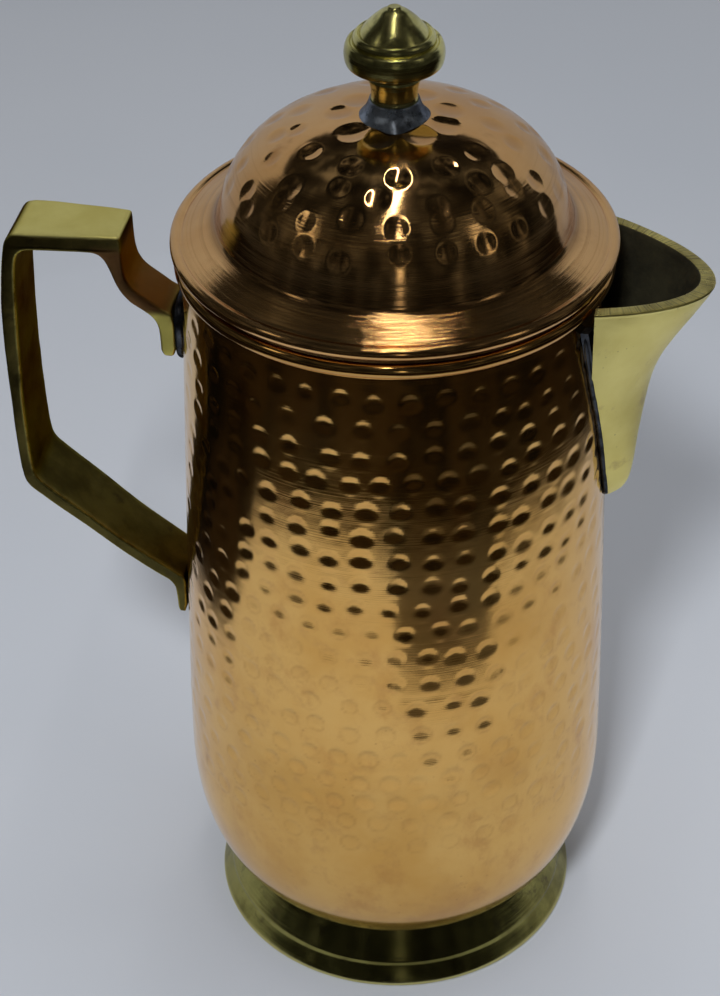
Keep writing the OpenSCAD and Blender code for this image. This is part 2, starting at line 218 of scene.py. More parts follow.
# --------------------------------------------------------------- materials
class Nodes:
    """Small helper that builds one procedural material."""

    def __init__(self, name):
        self.mat = bpy.data.materials.new(name)
        self.mat.use_nodes = True
        self.t = self.mat.node_tree
        self.t.nodes.clear()
        self.out = self.t.nodes.new("ShaderNodeOutputMaterial")
        self.p = self.t.nodes.new("ShaderNodeBsdfPrincipled")
        self.link(self.p.outputs[0], self.out.inputs[0])
        self.co = self.t.nodes.new("ShaderNodeTexCoord").outputs["Object"]
        self.xyz = None

    def link(self, a, b):
        self.t.links.new(a, b)

    def set(self, **kw):
        for k, v in kw.items():
            s = self.p.inputs[k.replace("_", " ")]
            if isinstance(v, bpy.types.NodeSocket):
                self.link(v, s)
            else:
                s.default_value = v
        return self

    def math(self, op, a, b=None, c=None, clamp=False):
        n = self.t.nodes.new("ShaderNodeMath")
        n.operation = op
        n.use_clamp = clamp
        for i, x in enumerate((a, b, c)):
            if x is None:
                continue
            if isinstance(x, bpy.types.NodeSocket):
                self.link(x, n.inputs[i])
            else:
                n.inputs[i].default_value = x
        return n.outputs[0]

    def axis(self, which):
        if self.xyz is None:
            self.xyz = self.t.nodes.new("ShaderNodeSeparateXYZ")
            self.link(self.co, self.xyz.inputs[0])
        return self.xyz.outputs["XYZ".index(which)]

    def radius(self):
        x, y = self.axis("X"), self.axis("Y")
        return self.math("SQRT", self.math("ADD", self.math("MULTIPLY", x, x), self.math("MULTIPLY", y, y)))

    def mapped(self, scale, offset=(0, 0, 0)):
        n = self.t.nodes.new("ShaderNodeMapping")
        n.inputs["Scale"].default_value = scale
        n.inputs["Location"].default_value = offset
        self.link(self.co, n.inputs["Vector"])
        return n.outputs[0]

    def noise(self, scale, detail=3.0, rough=0.55, vector=None, dims="3D", w=None, distort=0.0):
        n = self.t.nodes.new("ShaderNodeTexNoise")
        n.noise_dimensions = dims
        n.inputs["Scale"].default_value = scale
        n.inputs["Detail"].default_value = detail
        n.inputs["Roughness"].default_value = rough
        n.inputs["Distortion"].default_value = distort
        if dims == "1D":
            self.link(w, n.inputs["W"])
        else:
            self.link(vector or self.co, n.inputs["Vector"])
        return n.outputs["Fac"]

    def voronoi(self, scale, vector=None, feature="F1", rand=1.0):
        n = self.t.nodes.new("ShaderNodeTexVoronoi")
        n.feature = feature
        n.inputs["Scale"].default_value = scale
        n.inputs["Randomness"].default_value = rand
        self.link(vector or self.co, n.inputs["Vector"])
        return n.outputs["Distance"]

    def ramp(self, fac, stops):
        n = self.t.nodes.new("ShaderNodeValToRGB")
        e = n.color_ramp.elements
        while len(e) < len(stops):
            e.new(0.5)
        for i, (pos, col) in enumerate(stops):
            e[i].position = pos
            if not isinstance(col, (tuple, list)):
                col = (col, col, col)
            e[i].color = (*col, 1)
        self.link(fac, n.inputs[0])
        return n.outputs[0]

    def range(self, fac, a, b, c=0.0, d=1.0, smooth=True):
        n = self.t.nodes.new("ShaderNodeMapRange")
        n.interpolation_type = "SMOOTHSTEP" if smooth else "LINEAR"
        for k, v in zip(("From Min", "From Max", "To Min", "To Max"), (a, b, c, d)):
            n.inputs[k].default_value = v
        self.link(fac, n.inputs["Value"])
        return n.outputs[0]

    def mix(self, fac, a, b, blend="MIX"):
        n = self.t.nodes.new("ShaderNodeMix")
        n.data_type = "RGBA"
        n.blend_type = blend
        n.clamp_factor = True
        for s, x in ((n.inputs[0], fac), (n.inputs[6], a), (n.inputs[7], b)):
            if isinstance(x, bpy.types.NodeSocket):
                self.link(x, s)
            elif s is n.inputs[0]:
                s.default_value = x
            else:
                s.default_value = (*x, 1)
        return n.outputs[2]

    def stored(self, name):
        """A value kept on the mesh's own points."""
        n = self.t.nodes.new("ShaderNodeAttribute")
        n.attribute_type = "GEOMETRY"
        n.attribute_name = name
        return n.outputs["Fac"]

    def brushed(self, amount, turn):
        """Stretches reflections across lines turned round Z."""
        n = self.t.nodes.new("ShaderNodeTangent")
        n.direction_type = "RADIAL"
        n.axis = "Z"
        self.link(n.outputs[0], self.p.inputs["Tangent"])
        self.p.inputs["Anisotropic"].default_value = amount
        self.p.inputs["Anisotropic Rotation"].default_value = turn

    def bump(self, height, strength, distance, normal=None):
        n = self.t.nodes.new("ShaderNodeBump")
        n.inputs["Strength"].default_value = strength
        n.inputs["Distance"].default_value = distance
        self.link(height, n.inputs["Height"])
        if normal is not None:
            self.link(normal, n.inputs["Normal"])
        return n.outputs[0]


def copper_body():
    m = Nodes("hammered_copper")
    tone = m.range(m.noise(26, 4, 0.6), 0.36, 0.68)
    base = m.mix(tone, (0.885, 0.53, 0.165), (0.775, 0.425, 0.11))
    stain = m.range(m.noise(62, 6, 0.66, m.mapped((1, 1, 0.7), (3.1, 0.2, 0.4))), 0.52, 0.74, 0, 0.62)
    base = m.mix(stain, base, (0.60, 0.29, 0.085))
    broad = m.range(m.noise(31, 4, 0.62, m.mapped((1, 1, 0.8), (0.9, 4.2, 2.3))), 0.53, 0.70, 0, 0.42)
    base = m.mix(broad, base, (0.66, 0.355, 0.105))
    cloud = m.range(m.noise(150, 5, 0.68, m.mapped((1, 1, 1), (1.1, 2.2, 0.7))), 0.52, 0.72, 0, 0.30)
    base = m.mix(cloud, base, (0.52, 0.27, 0.10))
    # darker in and round the hammer marks: tarnish and painted shade
    mark_tarnish_and_shade = m.range(m.noise(120, 3, 0.6), 0.34, 0.62, 0.12, 0.55)
    base = m.mix(m.math("MULTIPLY", m.stored("hollow"), mark_tarnish_and_shade), base, (0.46, 0.235, 0.07))
    specks = m.range(m.voronoi(260, m.mapped((1, 1, 1), (0.02, 0.01, 0.03))), 0.0, 0.13, 0.45, 0.0)
    pick = m.range(m.noise(45, 2), 0.5, 0.62)
    base = m.mix(m.math("MULTIPLY", specks, pick), base, (0.30, 0.13, 0.05))
    # painted shade, darker where the wall meets the rolled rim and the foot
    low = m.range(m.axis("Z"), 0.0225, 0.0155, 0, 0.55)
    top = m.range(m.axis("Z"), 0.2060, 0.2088, 0, 0.35)
    base = m.mix(m.math("MAXIMUM", low, top), base, (0.30, 0.14, 0.05))
    rough = m.range(m.noise(60, 5, 0.65), 0.25, 0.8, 0.075, 0.15, smooth=False)
    smear = m.range(m.noise(22, 3, 0.5, m.mapped((1, 1, 2.2), (0.5, 0.7, 0.1))), 0.55, 0.75, 0, 0.05)
    rough = m.math("ADD", rough, smear)
    lines = m.noise(2600, 3, 0.6, dims="1D", w=m.axis("Z"))
    grain = m.noise(900, 2, 0.5, m.mapped((1, 1, 0.25)))
    waves = m.noise(85, 2, 0.5)
    n = m.bump(waves, 0.45, 0.00022)
    n = m.bump(lines, 0.15, 0.00006, n)
    n = m.bump(grain, 0.08, 0.00005, n)
    m.set(Base_Color=base, Roughness=rough, Metallic=1.0, Normal=n)
    return m.mat


def copper_lid(name="lid_copper", inner=False):
    m = Nodes(name)
    r = m.radius()
    tone = m.range(m.noise(34, 4, 0.6), 0.36, 0.68)
    base = m.mix(tone, (0.84, 0.50, 0.205), (0.75, 0.41, 0.145))
    rings = m.noise(900, 4, 0.7, dims="1D", w=r)
    where = m.range(r, 0.027, 0.040, 0.0, 1.0)
    base = m.mix(m.math("MULTIPLY", m.range(rings, 0.50, 0.72, 0, 0.42), where), base, (0.42, 0.20, 0.06))
    stain = m.range(m.noise(95, 5, 0.62), 0.56, 0.74, 0, 0.5)
    base = m.mix(stain, base, (0.40, 0.18, 0.06))
    # darker in the hammer marks: tarnish and painted shade
    base = m.mix(m.math("MULTIPLY", m.stored("hollow"), 0.30), base, (0.42, 0.20, 0.07))
    # painted shade in the fold where dome and flange meet
    fold = m.math("MULTIPLY", m.range(r, 0.0415, 0.0436), m.range(r, 0.0462, 0.0440))
    base = m.mix(m.math("MULTIPLY", fold, 0.55), base, (0.22, 0.11, 0.04))
    rough = m.range(m.noise(70, 5, 0.65), 0.25, 0.8, 0.085, 0.16, smooth=False)
    rough = m.math("ADD", rough, m.range(r, 0.016, 0.044, -0.02, 0.02))
    m.brushed(0.78, 0.25)
    wob = m.math("ADD", r, m.math("MULTIPLY", m.noise(18, 1), 0.0007))
    fine = m.noise(2600, 3, 0.65, dims="1D", w=wob)
    wide = m.noise(700, 2, 0.5, dims="1D", w=wob)
    n = m.bump(m.noise(95, 2, 0.5), 0.45, 0.0002)
    n = m.bump(m.math("MULTIPLY", fine, where), 0.55, 0.00010, n)
    n = m.bump(m.math("MULTIPLY", wide, where), 0.6, 0.00014, n)
    m.set(Base_Color=base, Roughness=rough, Metallic=1.0, Normal=n)
    return m.mat


def brass_turned(name="turned_brass", light=(0.37, 0.335, 0.10), dark=(0.18, 0.158, 0.045), waves=0.14,
                 turning=0.14, gloss=(0.11, 0.21)):
    m = Nodes(name)
    base = m.mix(m.range(m.noise(60, 5, 0.62), 0.38, 0.66), light, dark)
    dirt = m.range(m.noise(150, 5, 0.7), 0.54, 0.70, 0, 0.8)
    base = m.mix(dirt, base, (0.10, 0.082, 0.036))
    lines = m.noise(1900, 4, 0.7, dims="1D", w=m.axis("Z"))
    base = m.mix(m.range(lines, 0.55, 0.75, 0, 0.35), base, (0.22, 0.18, 0.08))
    # paler along the foot's bottom edge: rubbed wear and a painted highlight
    edge = m.range(m.axis("Z"), 0.0021, 0.0008, 0, 0.75)
    base = m.mix(edge, base, (0.80, 0.72, 0.30))
    rough = m.range(m.noise(110, 4, 0.6), 0.3, 0.75, gloss[0], gloss[1], smooth=False)
    n = m.bump(m.noise(140, 3, 0.5), waves, 0.00020)
    n = m.bump(lines, turning, 0.00010, n)
    m.set(Base_Color=base, Roughness=rough, Metallic=1.0, Normal=n)
    return m.mat


def brass_pale():
    m = Nodes("cast_brass_pale")
    base = m.mix(m.range(m.noise(38, 4, 0.6), 0.35, 0.7), (0.90, 0.785, 0.275), (0.80, 0.675, 0.20))
    patch = m.range(m.noise(85, 5, 0.68), 0.58, 0.74, 0, 0.5)
    base = m.mix(patch, base, (0.47, 0.33, 0.13))
    pits = m.range(m.voronoi(520), 0.0, 0.16, 0.8, 0.0)
    pits = m.math("MULTIPLY", pits, m.range(m.noise(120, 2), 0.52, 0.60))
    base = m.mix(pits, base, (0.20, 0.13, 0.06))
    rough = m.range(m.noise(90, 4, 0.6), 0.3, 0.75, 0.30, 0.44, smooth=False)
    scratch = m.noise(260, 4, 0.7, m.mapped((9, 9, 0.9), (0.1, 0.3, 0.2)))
    n = m.bump(m.noise(120, 3, 0.55), 0.45, 0.00030)
    n = m.bump(scratch, 0.25, 0.00010, n)
    n = m.bump(pits, -0.5, 0.00015, n)
    m.set(Base_Color=base, Roughness=rough, Metallic=1.0, Normal=n)
    return m.mat


def brass_filed(name="cast_brass_filed"):
    m = Nodes(name)
    base = m.mix(m.range(m.noise(70, 5, 0.65), 0.36, 0.66), (0.80, 0.68, 0.21), (0.40, 0.33, 0.095))
    n1 = m.t.nodes.new("ShaderNodeMath")
    n1.operation = "ARCTAN2"
    m.link(m.axis("Y"), n1.inputs[0])
    m.link(m.math("ADD", m.axis("X"), -0.052), n1.inputs[1])
    marks = m.noise(34, 4, 0.75, dims="1D", w=n1.outputs[0])
    base = m.mix(m.range(marks, 0.5, 0.66, 0, 0.7), base, (0.13, 0.11, 0.055))
    rough = m.range(m.noise(110, 4, 0.6), 0.3, 0.75, 0.24, 0.40, smooth=False)
    n = m.bump(marks, 0.55, 0.00022)
    n = m.bump(m.noise(240, 4, 0.6), 0.3, 0.00015, n)
    m.set(Base_Color=base, Roughness=rough, Metallic=0.93, Normal=n)
    return m.mat


def brass_inside():
    # inside of the spout, far darker than its outside: tarnish and painted shade
    m = Nodes("cast_brass_tarnished_and_shaded")
    base = m.mix(m.range(m.noise(70, 5, 0.65), 0.35, 0.68), (0.16, 0.145, 0.085), (0.075, 0.07, 0.05))
    base = m.mix(m.range(m.noise(25, 2), 0.55, 0.7, 0, 0.5), base, (0.10, 0.12, 0.11))
    rough = m.range(m.noise(120, 4, 0.6), 0.3, 0.75, 0.38, 0.58, smooth=False)
    n = m.bump(m.noise(170, 4, 0.6), 0.7, 0.0005)
    m.set(Base_Color=base, Roughness=rough, Metallic=0.85, Normal=n)
    return m.mat


def brass_handle():
    """Cast strap: olive and dull, filed pale along the flat top, copper-brown on the curve behind it."""
    m = Nodes("cast_brass_dark")
    base = m.mix(m.range(m.noise(55, 5, 0.64), 0.36, 0.68), (0.125, 0.100, 0.030), (0.058, 0.045, 0.015))
    dirt = m.range(m.noise(140, 5, 0.7), 0.56, 0.72, 0, 0.8)
    base = m.mix(dirt, base, (0.055, 0.042, 0.020))
    z, x = m.axis("Z"), m.axis("X")
    pale = m.mix(m.range(m.noise(60, 4, 0.6), 0.35, 0.7), (0.86, 0.77, 0.27), (0.77, 0.67, 0.21))
    top = m.range(z, 0.2119, 0.21265)
    # pale along the rounded edges: rubbed wear and a painted highlight
    rubbed_edge_and_glint = m.range(m.noise(170, 5, 0.7), 0.36, 0.58, 0.25, 1.0)
    base = m.mix(m.math("MULTIPLY", m.stored("edge"), rubbed_edge_and_glint), base, (0.72, 0.64, 0.17))
    base = m.mix(top, base, pale)
    # upper tang and the outer bend just below it
    tang = m.math("MULTIPLY", m.range(z, 0.1925, 0.1905), m.range(z, 0.170, 0.1765))
    tang = m.math("MULTIPLY", tang, m.range(x, -0.064, -0.061))
    base = m.mix(m.math("MULTIPLY", tang, 0.85), base, (0.84, 0.74, 0.19))
    # brown patina on the curve between top and tang
    curve = m.math("MULTIPLY", m.range(z, 0.2105, 0.2075), m.range(z, 0.1900, 0.1935))
    curve = m.math("MULTIPLY", curve, m.range(x, -0.0765, -0.0735))
    curve = m.math("MULTIPLY", curve, m.range(m.noise(90, 4, 0.6), 0.25, 0.5, 0.55, 1.0))
    base = m.mix(m.math("MULTIPLY", curve, 0.9), base, (0.25, 0.125, 0.050))
    rough = m.range(m.noise(100, 4, 0.6), 0.3, 0.75, 0.30, 0.46, smooth=False)
    scratch = m.noise(220, 4, 0.7, m.mapped((0.8, 8, 0.8), (0.4, 0.3, 0.2)))
    n = m.bump(m.noise(110, 3, 0.55), 0.6, 0.00045)
    n = m.bump(m.noise(420, 3, 0.6), 0.3, 0.00014, n)
    n = m.bump(scratch, 0.25, 0.00010, n)
    m.set(Base_Color=base, Roughness=rough, Metallic=m.range(top, 0.0, 1.0, 1.0, 0.84), Normal=n)
    m.p.inputs["Specular Tint"].default_value = (0.34, 0.27, 0.16, 1)
    return m.mat


def tin(name="tin_solder", light=(0.085, 0.092, 0.105), dark=(0.024, 0.025, 0.029), black=(0.012, 0.012, 0.012)):
    m = Nodes(name)
    base = m.mix(m.range(m.noise(120, 5, 0.65), 0.36, 0.66), light, dark)
    spots = m.range(m.noise(260, 4, 0.7), 0.54, 0.68, 0, 0.75)
    base = m.mix(spots, base, black)
    warm = m.range(m.noise(80, 3, 0.6, m.mapped((1, 1, 1), (0.3, 0.8, 0.2))), 0.60, 0.75, 0, 0.5)
    base = m.mix(warm, base, (0.16, 0.11, 0.065))
    rough = m.range(m.noise(200, 4, 0.6), 0.3, 0.75, 0.24, 0.46, smooth=False)
    n = m.bump(m.noise(230, 3, 0.6), 0.6, 0.0004)
    n = m.bump(m.noise(900, 2, 0.5), 0.3, 0.00012, n)
    m.set(Base_Color=base, Roughness=rough, Metallic=0.97, Normal=n)
    m.p.inputs["Specular Tint"].default_value = (0.45, 0.46, 0.48, 1)
    return m.mat


def steel():
    m = Nodes("steel_wire")
    base = m.mix(m.range(m.noise(150, 4, 0.6), 0.35, 0.7), (0.44, 0.43, 0.42), (0.24, 0.21, 0.19))
    rough = m.range(m.noise(200, 4, 0.6), 0.3, 0.75, 0.32, 0.5, smooth=False)
    n = m.bump(m.noise(700, 3, 0.6), 0.4, 0.00008)
    m.set(Base_Color=base, Roughness=rough, Metallic=1.0, Normal=n)
    return m.mat


def paper():
    m = Nodes("pale_floor")
    base = m.mix(m.range(m.noise(3.2, 3, 0.5), 0.35, 0.7), (0.675, 0.705, 0.765), (0.645, 0.68, 0.745))
    rough = m.range(m.noise(8, 4, 0.6), 0.3, 0.75, 0.58, 0.68, smooth=False)
    n = m.bump(m.noise(420, 3, 0.6), 0.10, 0.0002)
    m.set(Base_Color=base, Roughness=rough, Metallic=0.0, Normal=n)
    m.p.inputs["Specular IOR Level"].default_value = 0.3
    return m.mat


COPPER = copper_body()
LID_COPPER = copper_lid()
# the foot's brass is a darker copy than the finial's: tarnish and painted shade from the body overhanging the foot
BRASS = brass_turned()
KNOB_BRASS = brass_turned("turned_brass_finial", (0.88, 0.82, 0.33), (0.46, 0.42, 0.14), 0.28, 0.35, (0.17, 0.29))
# a lighter copy of the solder material for the finial's solder, which faces the lamps: painted light
LIT_TIN_COPY = tin("tin_solder_painted_lit", (0.40, 0.45, 0.52), (0.14, 0.155, 0.185), (0.05, 0.052, 0.058))
PALE = brass_pale()
FILED = brass_filed()
INSIDE = brass_inside()
HANDLE = brass_handle()
TIN = tin()
STEEL = steel()
PAPER = paper()


# -------------------------------------------------------------------- body
OPENING = np.array([[0, 161.5], [3.2, 162.6], [5.6, 165.5], [8, 171], [10.4, 178], [12.6, 186],
                    [14.4, 194], [15.6, 201], [15.4, 203.5], [14, 205.4], [12, 206]])


def body_points(z_rows, r_rows, cols, warp=True):
    """Points (rows, cols, 3) on the wall, with the columns drawn aside round the pour opening."""
    th0 = np.arange(cols) * 2 * PI / cols
    th0 = np.where(th0 > PI, th0 - 2 * PI, th0)
    j_in = 2 * PI * round(cols * 16.5 / 360) / cols
    j_out = 2 * PI * round(cols * 36 / 360) / cols
    half = np.interp(z_rows, OPENING[:, 1], OPENING[:, 0])
    ang = np.arcsin(np.clip(np.maximum(half, 2.4) / 52.3, 0, 1))
    ang = np.where(z_rows < 161.5, np.interp(z_rows, [136, 161.5], [j_in, math.asin(2.4 / 52.3)]), ang)
    ang = np.where(z_rows > 206, np.interp(z_rows, [206, 210.5], [math.asin(12 / 52.3), j_in]), ang)
    if not warp:
        ang = np.full(len(z_rows), j_in)
    a = np.abs(th0)[None, :]
    s = np.sign(th0)[None, :]
    h = ang[:, None]
    th = np.where(a <= j_in, a * h / j_in,
                  np.where(a < j_out, h + (a - j_in) * (j_out - h) / (j_out - j_in), a)) * s
    r = np.asarray(r_rows)[:, None]
    return np.stack([r * np.cos(th), r * np.sin(th), np.repeat(np.asarray(z_rows)[:, None], cols, 1)], -1), th


def build_body():
    cols = 480
    lean = 2 * PI * round(cols * 16.5 / 360) / cols
    edge_cols = int(round(lean / (2 * PI) * cols))
    # outside, from the bottom up
    ph = np.linspace(0, PI / 2, 62)[1:]
    z_turn = 9.5 + 46.5 * (1 - np.cos(ph))
    r_turn = 27.6 + 30 * np.clip(1 - np.cos(ph) ** 2.25, 0, 1) ** (1 / 2.25)
    z_wall = np.concatenate([np.linspace(56, 161.5, 133)[1:], np.linspace(161.5, 206, 57)[1:],
                             np.linspace(206, 208.6, 5)[1:]])
    r_wall = wall_r(z_wall)
    a_bead = np.linspace(-PI / 2, math.radians(238), 26)[1:]
    r_bead = 52.3 + 2.0 * np.cos(a_bead)
    z_bead = 210.6 + 2.0 * np.sin(a_bead)
    r_floor = np.array([0.6, 5, 10, 15, 20, 24, 27.0])
    z_floor = 9.5 + np.array([0.55, 0.5, 0.4, 0.28, 0.15, 0.05, 0.0])
    prof_r = np.concatenate([r_floor, r_turn, r_wall, r_bead])
    prof_z = np.concatenate([z_floor, z_turn, z_wall, z_bead])
    n_low, n_wall = len(r_floor) + len(r_turn), len(r_wall)
    pts, th = body_points(prof_z, prof_r, cols)
    # bead and bottom aren't drawn aside
    plain = revolve(np.stack([prof_r, prof_z], -1), cols)
    pts[:n_low] = plain[:n_low]
    pts[n_low + n_wall:] = plain[n_low + n_wall:]
    lo = prof_z[n_low + n_wall - 5: n_low + n_wall]
    # hammer marks
    wall = slice(n_low - 8, n_low + n_wall)
    depth = np.zeros((prof_z[wall].size, cols))
    ring = np.zeros_like(depth)
    marks = []
    rows = [201.4, 193.5, 185.8, 178.5, 170, 162.6, 155, 148, 141.4, 133.5, 125, 116.8, 109.5,
            101.4, 93, 84.8, 77, 69.6, 62.2]
    for k, z0 in enumerate(rows):
        a = RNG.uniform(0, 2 * PI)
        end = a + 2 * PI - math.radians(6.5)
        while a < end:
            z = z0 + RNG.normal(0, 0.55) + 0.5 * math.sin(a * 2 + k)
            fade = np.clip((z0 - 50) / 26, 0.42, 1.0)
            size = RNG.normal(2.55, 0.17)
            deep = RNG.normal(0.112, 0.020) * fade
            marks.append((a, z, np.clip(size, 2.0, 3.0), np.clip(deep, 0.03, 0.20),
                          RNG.normal(0.075, 0.017) * fade))
            a += math.radians(RNG.normal(8.75, 0.85))
    for a, z, size, deep, lean in marks:
        r = float(wall_r(z))
        press(depth, pts[wall], prof_z[wall], (r * math.cos(a), r * math.sin(a), z, z), size, deep,
              0.07, lean=lean, power=4.0, ring=ring)
    # how far each point is darkened in and round the hammer marks, kept as hollow: tarnish and painted shade
    pits = np.zeros((len(prof_z), cols))
    pits[wall] = np.clip(np.clip(depth / 0.16, 0, 1) * 0.30 + ring * 0.62, 0, 1)
    # long shallow waves left by hammering, and four faint turned lines
    flat = pts[wall].reshape(-1, 3)
    wave = value_noise(flat, 9.0, 3, 2).reshape(depth.shape) * 0.026
    wave += value_noise(flat * np.array([1, 1, 0.55]), 24.0, 9, 1).reshape(depth.shape) * 0.060
    zz = prof_z[wall][:, None]
    wave *= np.clip((zz - 50) / 20, 0, 1) * np.clip((208 - zz) / 3, 0, 1)
    for zl in (113.2, 206.3, 88.6, 59.2):
        wave += 0.035 * np.exp(-((zz - zl) / 0.5) ** 2)
    depth += wave
    depth *= np.clip((208.3 - zz) / 1.5, 0, 1)
    nr = side_normals(np.stack([prof_r, prof_z], -1))[wall]      # points inwards for upward travel
    ct, st = np.cos(th[wall]), np.sin(th[wall])
    for i, c in enumerate((ct, st)):
        pts[wall, :, i] += depth * nr[:, :1] * c
    pts[wall, :, 2] += depth * nr[:, 1:]
    outer = pts
    n_out = len(prof_r)

    # inside, from the rim down: every second row of the wall
    w_rows = np.arange(n_wall - 5, -1, -2)        # includes both ends of the opening
    first = n_low
    inner_rows = [first + w for w in w_rows]
    nrm = side_normals(np.stack([prof_r, prof_z], -1))
    inn = []
    for row in inner_rows:
        t = 1.0
        n = nrm[row]
        cr, sr = np.cos(th[row]), np.sin(th[row])
        p = outer[row].copy()
        p[:, 0] += t * n[0] * cr
        p[:, 1] += t * n[0] * sr
        inn.append(p)
    inn = np.array(inn)
    # the turn and the bottom inside
    ph2 = np.linspace(PI / 2, 0, 34)[1:]
    zt = 9.5 + 46.5 * (1 - np.cos(ph2))
    rt = 27.6 + 30 * np.clip(1 - np.cos(ph2) ** 2.25, 0, 1) ** (1 / 2.25)
    line = np.stack([rt, zt], -1)
    nn = side_normals(line[::-1])[::-1]
    line = line + nn * 1.0
    line = line[line[:, 1] > 10.52]
    line = np.vstack([line, [[26.6, 10.5], [22, 10.62], [15, 10.8], [8, 10.95], [0.6, 11.05]]])
    low_in = revolve(line, cols)
    verts = np.concatenate([outer.reshape(-1, 3), inn.reshape(-1, 3), low_in.reshape(-1, 3),
                            [[0, 0, 10.06], [0, 0, 11.06]]])
    o_in = n_out * cols
    o_low = o_in + len(inn) * cols
    centre = o_low + len(low_in) * cols

    def hole(r0, r1):
        return r0 >= 161.4 and r1 <= 206.1

    faces = []
    cut = set((j % cols) for j in range(-edge_cols, edge_cols))
    gf = grid_faces(n_out, cols)
    keep = np.ones(len(gf), bool)
    for i in range(n_low, n_low + n_wall - 1):
        if hole(prof_z[i], prof_z[i + 1]):
            for j in cut:
                keep[i * cols + j] = False
    faces += gf[keep].tolist()
    gi = grid_faces(len(inn), cols, start=o_in)
    keep = np.ones(len(gi), bool)
    for i in range(len(inn) - 1):
        if hole(prof_z[inner_rows[i + 1]], prof_z[inner_rows[i]]):
            for j in cut:
                keep[i * cols + j] = False
    faces += gi[keep].tolist()
    # joins: rim to inside wall, wall to bottom
    faces += [[(n_out - 1) * cols + j, (n_out - 1) * cols + (j + 1) % cols,
               o_in + (j + 1) % cols, o_in + j] for j in range(cols)]
    faces += [[o_in + (len(inn) - 1) * cols + j, o_in + (len(inn) - 1) * cols + (j + 1) % cols,
               o_low + (j + 1) % cols, o_low + j] for j in range(cols)]
    faces += grid_faces(len(low_in), cols, start=o_low).tolist()
    faces += [[centre, (j + 1) % cols, j] for j in range(cols)]
    e = o_low + (len(low_in) - 1) * cols
    faces += [[centre + 1, e + j, e + (j + 1) % cols] for j in range(cols)]
    # edge of the pour opening
    ins = [k for k, row in enumerate(inner_rows) if 161.4 <= prof_z[row] <= 206.1]
    top_k, bot_k = ins[0], ins[-1]
    for side in (edge_cols, -edge_cols):
        j = side % cols
        for k in range(top_k, bot_k):
            a, b = inner_rows[k], inner_rows[k + 1]
            f = [o_in + k * cols + j, a * cols + j, (a - 1) * cols + j, b * cols + j, o_in + (k + 1) * cols + j]
            faces.append(f if side > 0 else f[::-1])
    for k, flip in ((top_k, False), (bot_k, True)):
        row = inner_rows[k]
        for jj in range(-edge_cols, edge_cols):
            j, j2 = jj % cols, (jj + 1) % cols
            f = [row * cols + j, row * cols + j2, o_in + k * cols + j2, o_in + k * cols + j]
            faces.append(f[::-1] if flip else f)
    used = np.zeros(len(verts), bool)
    for f in faces:
        used[f] = True
    new = np.cumsum(used) - 1
    verts = verts[used]
    faces = [[int(new[i]) for i in f] for f in faces]
    marks_at = np.zeros(len(used))
    marks_at[:pits.size] = pits.reshape(-1)
    ob = make("body_hammered", verts, faces, COPPER, "jug", ("body_shell",))
    store(ob, "hollow", marks_at[used])
    return ob


body = build_body()


# --------------------------------------------------------------------- lid
def arc_through(points, step):
    """Catmull-Rom curve through the points, evenly spaced."""
    p = np.asarray(points, float)
    q = np.vstack([2 * p[0] - p[1], p, 2 * p[-1] - p[-2]])
    out = []
    for i in range(1, len(q) - 2):
        for t in np.linspace(0, 1, 12, endpoint=False):
            a, b, c, d = q[i - 1], q[i], q[i + 1], q[i + 2]
            out.append(0.5 * ((2 * b) + (c - a) * t + (2 * a - 5 * b + 4 * c - d) * t * t
                              + (3 * b - a - 3 * c + d) * t ** 3))
    out.append(p[-1])
    return resample(out, step)


